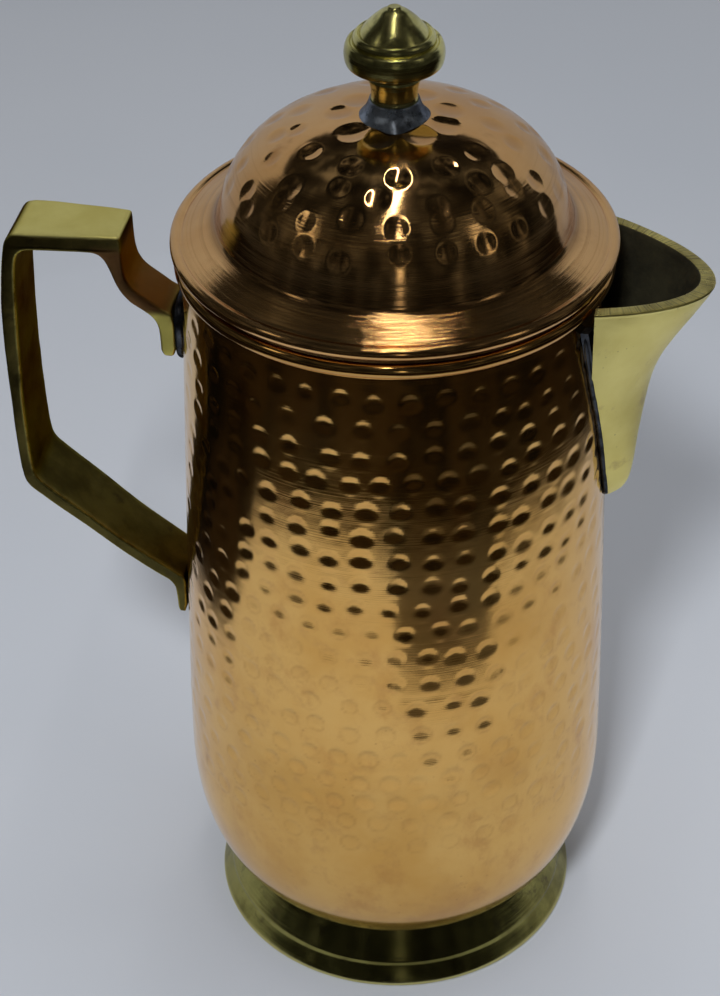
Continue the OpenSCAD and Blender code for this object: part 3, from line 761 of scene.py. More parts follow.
def build_lid():
    cols = 440
    a = np.radians(np.linspace(90, 14, 400))
    dome = np.stack([43.2 * np.clip(np.cos(a), 0, 1) ** (2 / 2.48), 215.8 + 32.6 * np.sin(a) ** (2 / 2.48)], -1)
    dome = dome[dome[:, 0] > 2.6]
    dome = np.vstack([[[2.6, dome[0, 1]]], dome])
    dome = resample(dome, 0.72)
    flange = arc_through([dome[-1], [43.3, 222.6], [43.72, 221.35], [44.6, 220.45], [46, 219.75],
                          [48.5, 218.75], [50.6, 217.95], [51.7, 217.45], [52.28, 217.12]], 0.26)[1:]
    arc = np.radians(np.linspace(122, -196, 40))
    roll = np.stack([53.3 + 1.7 * np.cos(arc), 215.8 + 1.7 * np.sin(arc)], -1)[1:]
    top = np.vstack([dome, flange])
    n_top = len(top)
    nrm = -side_normals(top)                   # travel is outwards and down: this points down and in
    nrm *= np.sign(-nrm[:, 1:2] + 1e-9)
    nrm = np.where(nrm[:, 1:2] > 0, -nrm, nrm)
    pts = revolve(top, cols)
    depth = np.zeros((n_top, cols))
    order = np.arange(n_top, dtype=float)      # rows by distance along the outline
    s = np.concatenate([[0], np.cumsum(np.hypot(*np.diff(top, axis=0).T))])

    def stamp(r, az, size, deep, rim=0.05):
        z = 215.8 + 32.6 * (1 - (min(r, 43.1) / 43.2) ** 2.48) ** (1 / 2.48)
        k = int(np.argmin(np.hypot(dome[:, 0] - r, dome[:, 1] - z)))
        press(depth, pts, s, (dome[k, 0] * math.cos(az), dome[k, 0] * math.sin(az), dome[k, 1], s[k]),
              size, deep, rim)

    for ring, n, size, deep, jit in ((12.6, 9, 3.75, 0.34, 0.5), (23.5, 13, 2.85, 0.27, 0.9),
                                     (30.2, 17, 2.75, 0.27, 1.0), (35.8, 21, 2.7, 0.26, 0.8),
                                     (39.6, 23, 2.6, 0.24, 0.5)):
        ph = RNG.uniform(0, 2 * PI)
        for i in range(n):
            az = ph + 2 * PI * (i + RNG.uniform(-0.17, 0.17)) / n
            stamp(ring + RNG.normal(0, jit), az, size * RNG.uniform(0.9, 1.12), 1.35 * deep * RNG.uniform(0.75, 1.15))
    # how far each point is darkened in the hammer marks, kept as hollow: tarnish and painted shade
    pits = np.clip(depth / 0.3, 0, 1)
    flat = pts.reshape(-1, 3)
    wave = value_noise(flat, 10.0, 21, 2).reshape(depth.shape) * 0.035
    rr = np.array(top[:, 0])[:, None]
    wave *= np.clip((44 - rr) / 4, 0, 1)
    # turned ridges on the flange
    fl = np.clip((rr - 44.2) / 0.8, 0, 1) * np.clip((51.6 - rr) / 1.2, 0, 1)
    wave += fl * (0.008 * np.sin(rr * 2 * PI / 1.35) + 0.030 * np.exp(-((rr - 46.4) / 0.32) ** 2)
                  + 0.036 * np.exp(-((rr - 49.5) / 0.34) ** 2) + 0.020 * np.exp(-((rr - 50.6) / 0.3) ** 2))
    depth += wave
    ang = np.arange(cols) * 2 * PI / cols
    off = depth[..., None] * np.stack([nrm[:, :1] * np.cos(ang), nrm[:, :1] * np.sin(ang),
                                       np.repeat(nrm[:, 1:], cols, 1)], -1)
    pts = pts + off
    # underside follows the top, one sheet below
    pick = np.arange(n_top - 6, -1, -2)
    under_line = top[pick] + nrm[pick] * 1.0
    ok = under_line[:, 0] > 2.5
    pick, under_line = pick[ok], under_line[ok]
    under = revolve(under_line, cols) + off[pick] * 0.9
    edge = revolve(roll, cols)
    grid = np.concatenate([pts, edge, under])
    rows = len(grid)
    faces = grid_faces(rows, cols).tolist()
    last = (rows - 1) * cols
    faces += [[last + j, last + (j + 1) % cols, (j + 1) % cols, j] for j in range(cols)]
    ob = make("lid_hammered", grid.reshape(-1, 3), faces, LID_COPPER, "lid", ("lid",))
    marks_at = np.zeros(len(grid) * cols)
    marks_at[:pits.size] = pits.reshape(-1)
    store(ob, "hollow", marks_at)
    return ob


lid = build_lid()


# ----------------------------------------------------------- turned pieces
def turned_piece(name, profile, cols, mat, body, node, jitter=None):
    """Closed or pole-to-pole outline turned round Z."""
    p = np.asarray(profile, float)
    poles = p[0, 0] < 1e-6, p[-1, 0] < 1e-6
    core = p[(1 if poles[0] else 0):(len(p) - 1 if poles[1] else len(p))]
    g = revolve(core, cols)
    if jitter is not None:
        g = jitter(g)
    faces = grid_faces(len(core), cols).tolist()
    v = g.reshape(-1, 3)
    n = len(v)
    last = (len(core) - 1) * cols
    if any(poles):
        if poles[0]:
            v = np.vstack([v, [[0, 0, p[0, 1]]]])
            faces += [[n, (j + 1) % cols, j] for j in range(cols)]
            n += 1
        if poles[1]:
            v = np.vstack([v, [[0, 0, p[-1, 1]]]])
            faces += [[n, last + j, last + (j + 1) % cols] for j in range(cols)]
    else:
        faces += [[last + j, last + (j + 1) % cols, (j + 1) % cols, j] for j in range(cols)]
    return make(name, v, faces, mat, body, (node,))


knob = np.array([[0, 246.2], [2.2, 246.2], [2.55, 246.6], [2.55, 248.9], [6.9, 248.92], [6.85, 249.4], [6.4, 250.4],
                 [5.8, 252], [5.5, 253.6], [5.6, 255.2], [5.9, 256.7], [6.3, 257.6], [6.55, 258.2], [6.3, 258.8],
                 [6.4, 259.7], [7.3, 260.5], [9.2, 261.1], [10.9, 261.5], [11.5, 262.1], [11.8, 263.2],
                 [11.9, 264.6], [11.7, 266], [11.2, 267.2],
                 [10.7, 267.5], [10.2, 267.0], [9.8, 267.1], [9.8, 267.8], [9.6, 268.7], [9.1, 269.4],
                 [8.7, 269.4], [8.3, 268.9], [8.1, 269.3], [7.6, 270.1], [6.8, 271.2], [5.6, 272.5],
                 [4.4, 273.6], [3.3, 274.5], [2.3, 275.0], [1.8, 275.1], [1.7, 275.6], [1.3, 275.8], [0, 275.8]])
knob_line = soften(soften(knob, 1, keep=0.16), 1, keep=0.25)
knob_line[0], knob_line[-1] = [0, 246.2], [0, 275.8]
turned_piece("finial_turned", knob_line, 128, KNOB_BRASS, "lid", "finial")


def foot_outline():
    out = np.array([[-0.7, 0], [-0.02, 0.5], [-0.12, 1.1], [-0.6, 1.95], [-2.75, 5.6], [-2.9, 6.05], [-2.85, 6.45],
                    [-3.05, 6.85], [-5.3, 10.7], [-6.9, 13.5], [-8.0, 15.4]]) + [51.3, 0]
    inn = np.array([[-9.8, 12], [-8.6, 8], [-6.6, 3], [-4.5, 0]]) + [51.3, 0]
    # the top runs out where the slope meets the body; the seat is a hair clear of the body
    zs = np.linspace(15.4, 12.4, 61)
    gap = np.interp(zs, out[:, 1], out[:, 0]) - (turn_r(zs) + 0.06)
    z_top = zs[np.argmax(gap > 0.12)]
    out = np.vstack([out[out[:, 1] < z_top - 0.4], [[np.interp(z_top, out[:, 1], out[:, 0]), z_top]]])
    out = soften(out, 2)
    zs = np.linspace(z_top, 12.1, 9)
    seat = np.stack([turn_r(zs) + 0.06, zs], -1)
    seat = seat[seat[:, 0] > np.interp(seat[:, 1], [8, 12], [42.7, 41.5])]
    inner = soften(np.vstack([seat[-1:], inn]), 1)
    return np.vstack([out, seat, inner[1:]])


foot_line = dedupe(foot_outline())


def foot_jitter(g):
    flat = g.reshape(-1, 3)
    n = value_noise(flat, 14, 5, 2)[:, None] * 0.07
    d = flat * [1, 1, 0]
    d /= np.maximum(np.linalg.norm(d, axis=1), 1e-6)[:, None]
    w = np.clip((flat[:, 2:] - 0.3) / 2, 0, 1) * np.clip((12 - flat[:, 2:]) / 3, 0, 1)
    return (flat + d * n * w).reshape(g.shape)


turned_piece("foot_ring_turned", foot_line, 320, BRASS, "jug", "foot_ring", foot_jitter)


def knob_solder():
    """Tin run round the finial's foot, with a drip down the front of the dome."""
    cols = 160
    th = np.arange(cols) * 2 * PI / cols
    front = math.atan2(-math.cos(TURN), math.sin(TURN))
    d = (th - front + PI) % (2 * PI) - PI
    reach = 8.35 + 0.22 * np.sin(2 * th + 1) + 0.10 * np.sin(5 * th) + 1.9 * np.exp(-(d / 0.36) ** 2)
    rows = []
    ts = np.linspace(0, 1, 22)
    for t in ts:
        r = reach * (1 - t) + 5.95 * t
        dome = 215.8 + 32.6 * (1 - (np.clip(r, 0, 43) / 43.2) ** 2.48) ** (1 / 2.48)
        h = 4.3 * t ** 2.4 + 0.55 * (1 - (1 - t) ** 2) * (1 - t) * 2.2 - 0.10 * (1 - t) ** 6
        thick = h * (1 + 0.12 * np.sin(4 * th + 2) * (1 - t))
        rows.append(np.stack([r * np.cos(th), r * np.sin(th), dome + thick + 0.02], -1))
    top = np.array(rows)
    flat = top.reshape(-1, 3)
    n = value_noise(flat, 2.6, 40, 2)[:, None]
    w = np.repeat(np.clip(np.minimum(ts * 5, (1 - ts) * 6), 0, 1), cols)[:, None]
    flat = flat + np.array([[0, 0, 1]]) * n * 0.09 * w
    top = flat.reshape(top.shape)
    under = []
    for t in (0.75, 0.35, 0.0):
        r = reach * t + 2.9 * (1 - t)
        dome = 215.8 + 32.6 * (1 - (np.clip(r, 0, 43) / 43.2) ** 2.48) ** (1 / 2.48)
        under.append(np.stack([r * np.cos(th), r * np.sin(th), dome - 0.25], -1))
    inner = np.stack([4.9 * np.cos(th), 4.9 * np.sin(th), np.full(cols, 251.6)], -1)
    grid = np.concatenate([np.array(under)[::-1], top, inner[None]])
    rows = len(grid)
    faces = grid_faces(rows, cols).tolist()
    last = (rows - 1) * cols
    faces += [[last + j, last + (j + 1) % cols, (j + 1) % cols, j] for j in range(cols)]
    return make("finial_solder_run", grid.reshape(-1, 3), faces, LIT_TIN_COPY, "lid", ("finial_solder",))


knob_solder()

# ------------------------------------------------------------------ handle
STRAP_OUT = [[55.3, 178.6], [55.3, 191.2], [58.3, 192.5], [60.8, 194.4], [63.6, 196.4], [65.7, 198.3],
             [67.0, 200.8], [67.5, 203.6], [67.6, 206.8], [67.6, 212.1], [68.3, 212.9], [92.6, 212.9],
             [95.6, 212.2], [97.3, 209.9], [98.3, 204.4], [99.1, 198.5], [99.6, 192.5], [100, 180.4],
             [99.9, 168], [99.5, 155], [99.1, 142.3], [98.4, 137.4], [97.2, 135.2], [95, 133.2],
             [84.7, 124.5], [74.3, 115.5], [69, 111.2], [63.8, 107.5], [61.0, 105.7], [59.7, 103.6],
             [59.4, 100], [59.2, 94.7]]
STRAP_IN = [[57.0, 94.7], [56.4, 107.0], [58.4, 108.4], [63.4, 112.0], [68.8, 115.9], [74, 120.0],
            [84.4, 128.9], [94.0, 137.0], [95.6, 139.4], [96.2, 145], [96.5, 158], [96.5, 168],
            [96.2, 180.4], [95.6, 192.5], [94.9, 203.0], [94.1, 206.4], [92.4, 207.8], [90, 208.0],
            [75.5, 208.0], [73.4, 207.4], [72.0, 205.8], [70.9, 203.0], [69.9, 199.6], [68.3, 196.3],
            [66.2, 193.8], [63.4, 192.0], [61.0, 190.2], [59.8, 188.5], [59.2, 186], [59.1, 178.6]]


def strap_half(rho, z):
    w = np.interp(z, [90, 110, 130, 138, 205, 216], [8.0, 8.8, 10.05, 10.15, 8.95, 8.65])
    plan = np.interp(rho, [45, 67.5, 97, 110], [6.8, 7.2, 9.2, 11])
    return np.where(z > 169, np.minimum(w, plan), w)


def build_handle():
    line = np.array(STRAP_OUT + STRAP_IN)
    line = soften(line, 1, closed=True, keep=0.2)
    line = resample(line, 0.75, closed=True)
    n = len(line)
    inward = side_normals(line, closed=True)
    area = 0.5 * np.sum(line[:, 0] * np.roll(line[:, 1], -1) - np.roll(line[:, 0], -1) * line[:, 1])
    if area < 0:
        inward = -inward
    e = 0.75                                   # radius of the worn edge
    prof = [(-1.0, e)]
    for a in np.linspace(0, PI / 2, 6):
        prof.append((-1 + e / 10 * (1 - math.cos(a)), e * (1 - math.sin(a))))
    prof = prof[1:]
    mid = np.linspace(prof[-1][0], -prof[-1][0], 17)[1:-1]
    layers = prof + [(m, 0.0) for m in mid] + [(-f, i) for f, i in reversed(prof)]
    rows = []
    w = strap_half(line[:, 0], line[:, 1])
    # smooth the half width along the outline a little
    for _ in range(6):
        w = (np.roll(w, 1) + 2 * w + np.roll(w, -1)) / 4
    for f, inset in layers:
        dist = (1 - abs(f)) * 10.0             # mm in from the side when w is 10
        y = np.sign(f) * (w - dist) if abs(f) > 0.9 else f * w / abs(layers[5][0]) * (w - (1 + layers[5][0]) * 10.0) / w
        p = line + inward * inset
        rows.append(np.stack([-p[:, 0], np.broadcast_to(y, n), p[:, 1]], -1))
    g = np.array(rows)
    flat = g.reshape(-1, 3)
    nrm = np.tile(np.stack([inward[:, 0], np.zeros(n), -inward[:, 1]], -1), (len(layers), 1))
    lump = value_noise(flat, 9, 61, 2) * 0.10 + value_noise(flat, 28, 62, 1) * 0.14
    lump *= np.where((flat[:, 2] > 211.8) & (flat[:, 0] < -69), 0.35, 1.0)
    flat = flat + nrm * lump[:, None]
    flat[:, 1] += value_noise(flat, 12, 63, 2) * 0.16
    # stay clear of the body wall
    keep_out = wall_r(flat[:, 2]) + 0.35
    lim = -np.sqrt(np.clip(keep_out ** 2 - flat[:, 1] ** 2, 0, None))
    near = flat[:, 2] < 209
    flat[:, 0] = np.where(near, np.minimum(flat[:, 0], lim), flat[:, 0])
    g = flat.reshape(g.shape)
    k = len(layers)
    faces = []
    for i in range(k - 1):
        for j in range(n):
            j2 = (j + 1) % n
            faces.append([i * n + j, i * n + j2, (i + 1) * n + j2, (i + 1) * n + j])
    for layer, flip in ((0, True), (k - 1, False)):
        poly = [Vector((p[0], p[2], 0)) for p in g[layer]]
        for tri in tessellate_polygon([poly]):
            f = [layer * n + t for t in tri]
            a, b, c = (g[layer][t] for t in tri)
            s = (b[0] - a[0]) * (c[2] - a[2]) - (b[2] - a[2]) * (c[0] - a[0])
            # y normal of the triangle is -s
            if (s > 0) == (not flip):
                f = f[::-1]
            faces.append(f)
    # side walls the same way round as the caps
    p0, p1, p2 = g[2][0], g[2][1], g[3][1]
    nn = np.cross(p1 - p0, p2 - p1)
    out = np.array([-inward[0][0] * -1, 0, -inward[0][1]])
    if np.dot(nn, out) < 0:
        faces = [f[::-1] if len(f) == 4 else f for f in faces]
    ob = make("handle_strap", flat, faces, HANDLE, "jug", ("handle",), flat_angle=50)
    at = np.minimum(np.arange(k), k - 1 - np.arange(k))
    # marks the rounded edges for the pale colour: rubbed wear and a painted highlight
    store(ob, "edge", np.repeat(np.exp(-((at - 3.0) / 1.5) ** 2), n))
    return ob


build_handle()


# ------------------------------------------------------------------- spout
KEEL = [[142, 56.2], [145, 59.6], [150, 61.5], [165, 62.9], [180, 64.8], [188, 67.1], [195, 70.7],
        [203, 75.6], [208, 78.3], [214, 79.6]]
HALF = [[142, 1.6], [147, 5.0], [155, 8.6], [166, 12.0], [178, 15.2], [190, 18.6], [202, 21.6],
        [214, 24.4]]
ROOT = 51.0


def hermite(t, x):
    t = np.asarray(t, float)
    x = np.asarray(x, float)
    m = np.gradient(t[:, 1], t[:, 0])
    m[1:-1] = (t[2:, 1] - t[:-2, 1]) / (t[2:, 0] - t[:-2, 0])
    i = np.clip(np.searchsorted(t[:, 0], x, side="right") - 1, 0, len(t) - 2)
    h = t[i + 1, 0] - t[i, 0]
    u = (x - t[i, 0]) / h
    return ((2 * u ** 3 - 3 * u ** 2 + 1) * t[i, 1] + (u ** 3 - 2 * u ** 2 + u) * m[i] * h
            + (-2 * u ** 3 + 3 * u ** 2) * t[i + 1, 1] + (u ** 3 - u ** 2) * m[i + 1] * h)


def v_point(z, s, w):
    """Point of the V section at height z and share s from root to keel, wall w taken off."""
    k = hermite(KEEL, z) - w * 1.15
    b = np.maximum(0.4, hermite(HALF, z) - w)
    x = ROOT + s * (k - ROOT)
    y = b * np.clip(1 - s ** 1.15, 0, 1) ** 0.50
    return x, y


def s_start(z, w):
    """Share s at which the section leaves the back cut."""
    cut = float(wall_r(z)) + 0.8
    if z > 200.5:
        cut = max(cut, 54.82) if z > 204 else cut + (54.82 - cut) * (z - 200.5) / 3.5
    s = np.linspace(0, 1, 801)
    x, y = v_point(np.full(801, z), s, w)
    ok = np.hypot(x, y) >= cut
    return float(s[np.argmax(ok)]) if ok.any() else 1.0


def rim_z(x):
    return np.interp(x, [40, 54, 82, 90], [212.2, 211.4, 208.6, 208.0])


def spout_skin(w, z_low, n_t, n_u):
    """Half grid (n_t, n_u, 3) of the outer or inner surface, y >= 0, from the body edge to the keel."""
    g = np.zeros((n_t, n_u, 3))
    ts = np.linspace(0, 1, n_t) ** 0.9
    us = 1 - (1 - np.linspace(0, 1, n_u)) ** 1.6
    zs = np.linspace(141.9, 214, 361)
    tab = np.array([s_start(float(z), w) for z in np.clip(zs, 142.0, 214)])
    for i, t in enumerate(ts):
        for j, u in enumerate(us):
            z = z_low + t * (209.5 - z_low)
            for _ in range(7):
                s0 = np.interp(z, zs, tab)
                s = s0 + (1 - s0) * u
                x, y = v_point(np.array([z]), np.array([s]), w)
                top = rim_z(x[0])
                z = z_low + t * (top - z_low)
            g[i, j] = (x[0], y[0], z)
    return g


def build_spout():
    n_u = 26
    outer = spout_skin(0.0, 142.6, 84, n_u)
    inner = spout_skin(3.5, 151.5, 70, n_u)

    def both(h):                                # mirror to -y: columns from -y edge round the keel to +y edge
        left = h.copy()
        left[..., 1] *= -1
        return np.concatenate([left, h[:, ::-1][:, 1:]], 1)

    out, inn = both(outer), both(inner)
    cols = out.shape[1]
    # rounded top edge: pull the last outer and inner rows down and add rows across the rim
    o_top, i_top = out[-1].copy(), inn[-1].copy()
    r = 0.45
    vec = i_top - o_top
    span = np.maximum(np.linalg.norm(vec, axis=1), 1e-6)[:, None]
    vec = vec / span
    rows = []
    out[-1, :, 2] -= r
    for a in (30, 60, 90):
        aa = math.radians(a)
        p = o_top + vec * r * (1 - math.cos(aa))
        p[:, 2] -= r * (1 - math.sin(aa))
        rows.append(p)
    for f in (0.3, 0.5, 0.7):
        rows.append(o_top + vec * (r + f * (span - 2 * r)))
    for a in (90, 60, 30):
        aa = math.radians(a)
        p = i_top - vec * r * (1 - math.cos(aa))
        p[:, 2] -= r * (1 - math.sin(aa))
        rows.append(p)
    inn[-1, :, 2] -= r
    across = np.array(rows)
    flat = across.reshape(-1, 3)
    across = (flat + np.array([[0, 0, 1.0]]) * value_noise(flat, 5, 71, 2)[:, None] * 0.07).reshape(across.shape)
    # cast unevenness, strongest inside
    ko = out.reshape(-1, 3)
    out = (ko + np.array([[1.0, 0, 0]]) * (value_noise(ko, 16, 72, 2) * 0.13)[:, None]
           * np.clip((210 - ko[:, 2:]) / 6, 0, 1)).reshape(out.shape)
    ki = inn.reshape(-1, 3)
    inn = (ki + np.array([[1.0, 0, 0]]) * (value_noise(ki, 7, 73, 2) * 0.28)[:, None]
           * np.clip((208 - ki[:, 2:]) / 6, 0, 1)).reshape(inn.shape)
    grid = np.concatenate([out, across, inn[::-1]])
    rows = len(grid)
    n_o, n_a, n_i = len(out), len(across), len(inn)
    faces = grid_faces(rows, cols, wrap=False).tolist()
    index = []
    for i in range(rows - 1):
        kind = 0 if i < n_o + 1 else (1 if i < n_o + n_a - 2 else 2)
        index += [kind] * (cols - 1)
    # close: bottom ring of the outside to the bottom ring of the inside
    last = (rows - 1) * cols
    faces += [[last + j, last + j + 1, j + 1, j] for j in range(cols - 1)]
    index += [2] * (cols - 1)
    # edges against the body: strip between outer and inner for each side
    for col, flip in ((0, False), (cols - 1, True)):
        o_idx = [i * cols + col for i in range(n_o)]
        a_idx = [(n_o + i) * cols + col for i in range(n_a)]
        i_idx = [(rows - 1 - i) * cols + col for i in range(n_i)]
        # walk up both sides by height
        a = b = 0
        v = grid.reshape(-1, 3)
        while a < n_o - 1 or b < n_i - 1:
            za = v[o_idx[a + 1]][2] if a < n_o - 1 else 1e9
            zb = v[i_idx[b + 1]][2] if b < n_i - 1 else 1e9
            if za <= zb:
                f = [o_idx[a], o_idx[a + 1], i_idx[b]]
                a += 1
            else:
                f = [o_idx[a], i_idx[b + 1], i_idx[b]]
                b += 1
            faces.append(f if flip else f[::-1])
            index.append(0)
        f = [o_idx[-1]] + a_idx + [i_idx[-1]]
        faces.append(f if flip else f[::-1])
        index.append(1)
    return make("spout_beak", grid.reshape(-1, 3), faces, [PALE, FILED, INSIDE], "jug", ("spout",),
                flat_angle=48, index=index), out, inn


spout, SP_OUT, SP_IN = build_spout()


# ------------------------------------------------------------------ solder
def lumpy_tube(path, across, radial, rad_a, rad_b, seed, cols=14):
    """A flattened lumpy bead along a path. across and radial are unit vectors at each point."""
    n = len(path)
    th = np.arange(cols) * 2 * PI / cols
    rows = []
    for i in range(n):
        rows.append(path[i] + np.cos(th)[:, None] * across[i] * rad_a[i] + np.sin(th)[:, None] * radial[i] * rad_b[i])
    g = np.array(rows)
    flat = g.reshape(-1, 3)
    c = np.repeat(np.asarray(path), cols, 0)
    d = flat - c
    k = 1 + 0.24 * value_noise(flat, 2.6, seed, 2) + 0.16 * value_noise(flat, 6.5, seed + 1, 1)
    flat = c + d * k[:, None]
    faces = grid_faces(n, cols).tolist()
    faces.append(list(range(cols))[::-1])
    faces.append([(n - 1) * cols + j for j in range(cols)])
    return flat, faces


def spout_seam():
    col = SP_OUT[:, 0]                          # -y edge, bottom to top
    rows = []
    path = resample(col, 0.8)
    path = path[path[:, 2] < 206.5]
    verts, faces = [], []
    base = 0
    half = []
    for p in path:
        th = math.atan2(p[1], p[0])
        r = float(wall_r(p[2])) + 0.55
        half.append([r * math.cos(th + 0.004), r * math.sin(th + 0.004), p[2]])
    half = np.array(half)
    mirror = half[::-1] * np.array([1, -1, 1])
    line = np.vstack([half[::-1], (mirror[::-1] * 1.0)[0:0]])
    full = np.vstack([half[::-1], mirror[::-1]])  # down the -y side, up the +y side
    full = resample(full, 0.8)
    for _ in range(3):
        full[1:-1] = (full[:-2] + 2 * full[1:-1] + full[2:]) / 4
    tang = np.gradient(full, axis=0)
    tang /= np.linalg.norm(tang, axis=1)[:, None]
    radial = full * [1, 1, 0]
    radial /= np.linalg.norm(radial, axis=1)[:, None]
    across = np.cross(tang, radial)
    across /= np.linalg.norm(across, axis=1)[:, None]
    z = full[:, 2]
    wide = np.interp(z, [143, 160, 185, 206], [0.55, 0.5, 0.52, 0.6])
    high = np.interp(z, [143, 160, 185, 206], [0.7, 0.65, 0.7, 0.8])
    v, f = lumpy_tube(full, across, radial, wide, high, 81)
    # stay outside the body wall
    rr = np.hypot(v[:, 0], v[:, 1])
    lim = wall_r(v[:, 2]) + 0.01
    k = np.maximum(rr, lim) / rr
    v = v * np.stack([k, k, np.ones_like(k)], -1)
    return make("spout_seam", v, f, TIN, "jug", ())


spout_seam()


def tang_solder():
    """Lens of tin between the upper tang and the body, fuller than the tang at its edges."""
    cols, rings = 96, 12
    th = np.arange(cols) * 2 * PI / cols
    c = np.abs(np.cos(th)) ** (2 / 3.2) * np.sign(np.cos(th))
    s = np.abs(np.sin(th)) ** (2 / 3.2) * np.sign(np.sin(th))
    half_y = 7.5 + 0.35 * np.sin(3 * th + 0.5)
    y0 = half_y * c
    z0 = 185.6 + (8.4 + 0.6 * np.sin(2 * th)) * s
    rows = []
    for a in np.linspace(0, PI, rings):
        # from the body surface out to the tang's back, bulging between
        k = 0.93 + 0.10 * math.sin(a)
        f = 0.5 - 0.5 * math.cos(a)
        y = y0 * k
        z = 185.6 + (z0 - 185.6) * k
        r_in = wall_r(z) + 0.02
        x_in = -np.sqrt(r_in ** 2 - y ** 2)
        x = x_in * (1 - f) + (-55.35) * f
        rows.append(np.stack([x, y, z], -1))
    g = np.array(rows)
    flat = g.reshape(-1, 3)
    n = value_noise(flat, 2.4, 91, 2)
    d = flat - np.array([flat[:, 0].mean(), 0, 185.6])
    d[:, 0] = 0
    d /= np.maximum(np.linalg.norm(d, axis=1), 1e-6)[:, None]
    w = np.repeat(np.sin(np.linspace(0, PI, rings)), cols)
    flat = flat + d * (n * w)[:, None] * 0.5
    faces = grid_faces(rings, cols).tolist()
    faces.append(list(range(cols)))
    faces.append([(rings - 1) * cols + j for j in range(cols)][::-1])
    # caps opposite ways: order checked by direction of the side wall
    p = flat
    nn = np.cross(p[1] - p[0], p[cols + 1] - p[1])
    out = p[0] - np.array([p[0][0], 0, 185.6])
    if np.dot(nn, out) < 0:
        faces = [f[::-1] for f in faces]
    return make("tang_solder_lens", flat, faces, TIN, "jug", ("handle_solder_upper",))


tang_solder()

# --------------------------------------------- CAD nodes that stay as made
for node, mat in (("rim_wire", STEEL), ("lid_rim_wire", STEEL), ("lid_collar", LID_COPPER),
                  ("foot_solder", TIN), ("spout_solder", TIN), ("handle_solder_lower", TIN)):
    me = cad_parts[node].data
    if len(me.materials) == 0:
        me.materials.append(mat)
    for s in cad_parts[node].material_slots:
        s.material = mat

# ------------------------------------------------------------------- stage
def stage_plane(name, pts, mat):
    me = bpy.data.meshes.new(name)
    me.from_pydata([tuple(p) for p in pts], [], [list(range(len(pts)))])
    me.materials.append(mat)
    ob = bpy.data.objects.new(name, me)
    SCENE.collection.objects.link(ob)
    return ob


floor = stage_plane("floor", [(-4, -4, -0.0002), (4, -4, -0.0002), (4, 4, -0.0002), (-4, 4, -0.0002)], PAPER)


def dark_room_reflection_material():
    """Material of the sheet's surroundings, pale near the jug and dark beyond: a painted reflection of the dark room.
    """
    m = Nodes("dark_room_reflection_material")
    dark = m.mix(m.range(m.noise(7, 3, 0.6), 0.42, 0.62), (0.026, 0.019, 0.012), (0.004, 0.004, 0.004))
    base = m.mix(m.stored("shade"), (0.67, 0.69, 0.735), dark)
    rough = m.range(m.noise(3, 3, 0.6), 0.3, 0.7, 0.8, 0.95, smooth=False)
    m.set(Base_Color=base, Roughness=rough, Metallic=0.0)
    m.p.inputs["Specular IOR Level"].default_value = 0.0
    return m.mat


def dark_room_reflection():
    """Painted reflection of the dark room: what the copper sees beyond the pale sheet, darkness in front, seen by
    reflections only.
    """
    # direction, start of the dark edge, end of it, how dark (mm and 0-1)
    rim = np.array([(-126, 176, 200, 1.0), (-104, 172, 196, 1.0), (-90, 178, 208, 1.0), (-80, 214, 250, 1.0),
                    (-73, 262, 298, 1.0), (-60, 270, 306, 1.0), (-40, 276, 312, 1.0), (-12, 276, 312, 1.0),
                    (-2, 262, 300, 1.0), (3, 208, 222, 0.86), (12, 200, 214, 0.88), (30, 200, 214, 0.88),
                    (44, 202, 218, 0.86), (50, 256, 292, 1.0), (70, 262, 300, 1.0), (92, 258, 296, 1.0),
                    (126, 252, 290, 1.0)], float)
    aa = np.linspace(-126, 126, 169)
    rr = np.concatenate([np.arange(150, 420, 6.0), [520, 800, 1900]])
    lo, hi, most = (np.interp(aa, rim[:, 0], rim[:, k]) for k in (1, 2, 3))
    v, shade = [], []
    for R in rr:
        t = np.clip((R - lo) / (hi - lo), 0, 1)
        t = t * t * (3 - 2 * t)
        far = np.clip((R - 268) / 40, 0, 1)
        shade += list(t * (most + (1 - most) * far))
        for a in np.radians(aa):
            v.append((*turned(R * 0.001 * math.sin(a), -R * 0.001 * math.cos(a)), 0.0015))
    me = bpy.data.meshes.new("dark_room_reflection")
    me.from_pydata(v, [], grid_faces(len(rr), len(aa), wrap=False).tolist())
    me.materials.append(dark_room_reflection_material())
    ob = bpy.data.objects.new("dark_room_reflection", me)
    store(ob, "shade", shade)
    SCENE.collection.objects.link(ob)
    for k in ("camera", "diffuse", "shadow", "transmission", "volume_scatter"):
        setattr(ob, "visible_" + k, False)
    return ob


dark_room_reflection()


def area(name, loc, aim, size, size_y, power, color=(1, 1, 1)):
    d = bpy.data.lights.new(name, "AREA")
    d.shape = "RECTANGLE"
    d.size, d.size_y = size, size_y
    d.energy = power
    d.color = color
    o = bpy.data.objects.new(name, d)
    x, y = turned(loc[0], loc[1])
    o.location = (x, y, loc[2])
    ax, ay = turned(aim[0], aim[1])
    v = Vector((ax, ay, aim[2])) - Vector((x, y, loc[2]))
    o.rotation_euler = v.to_track_quat("-Z", "Y").to_euler()
    SCENE.collection.objects.link(o)
    return o


# overhead lamp, long from front to back, a lamp in front and to the left, and a soft fill
area("lamp_overhead", (0.0, -0.12, 1.30), (0, -0.12, 0.1), 0.030, 1.10, 1.75, (1.0, 0.97, 0.93))
side = area("lamp_front", (-0.17, -0.85, 1.08), (0, 0, 0.1), 0.16, 0.16, 9.6, (0.96, 0.98, 1.0))
fill = area("lamp_fill", (0.2, 0.3, 1.6), (0, 0, 0.1), 1.6, 1.6, 8.9, (0.95, 0.965, 0.99))
for lamp in (side, fill):
    lamp.visible_glossy = False
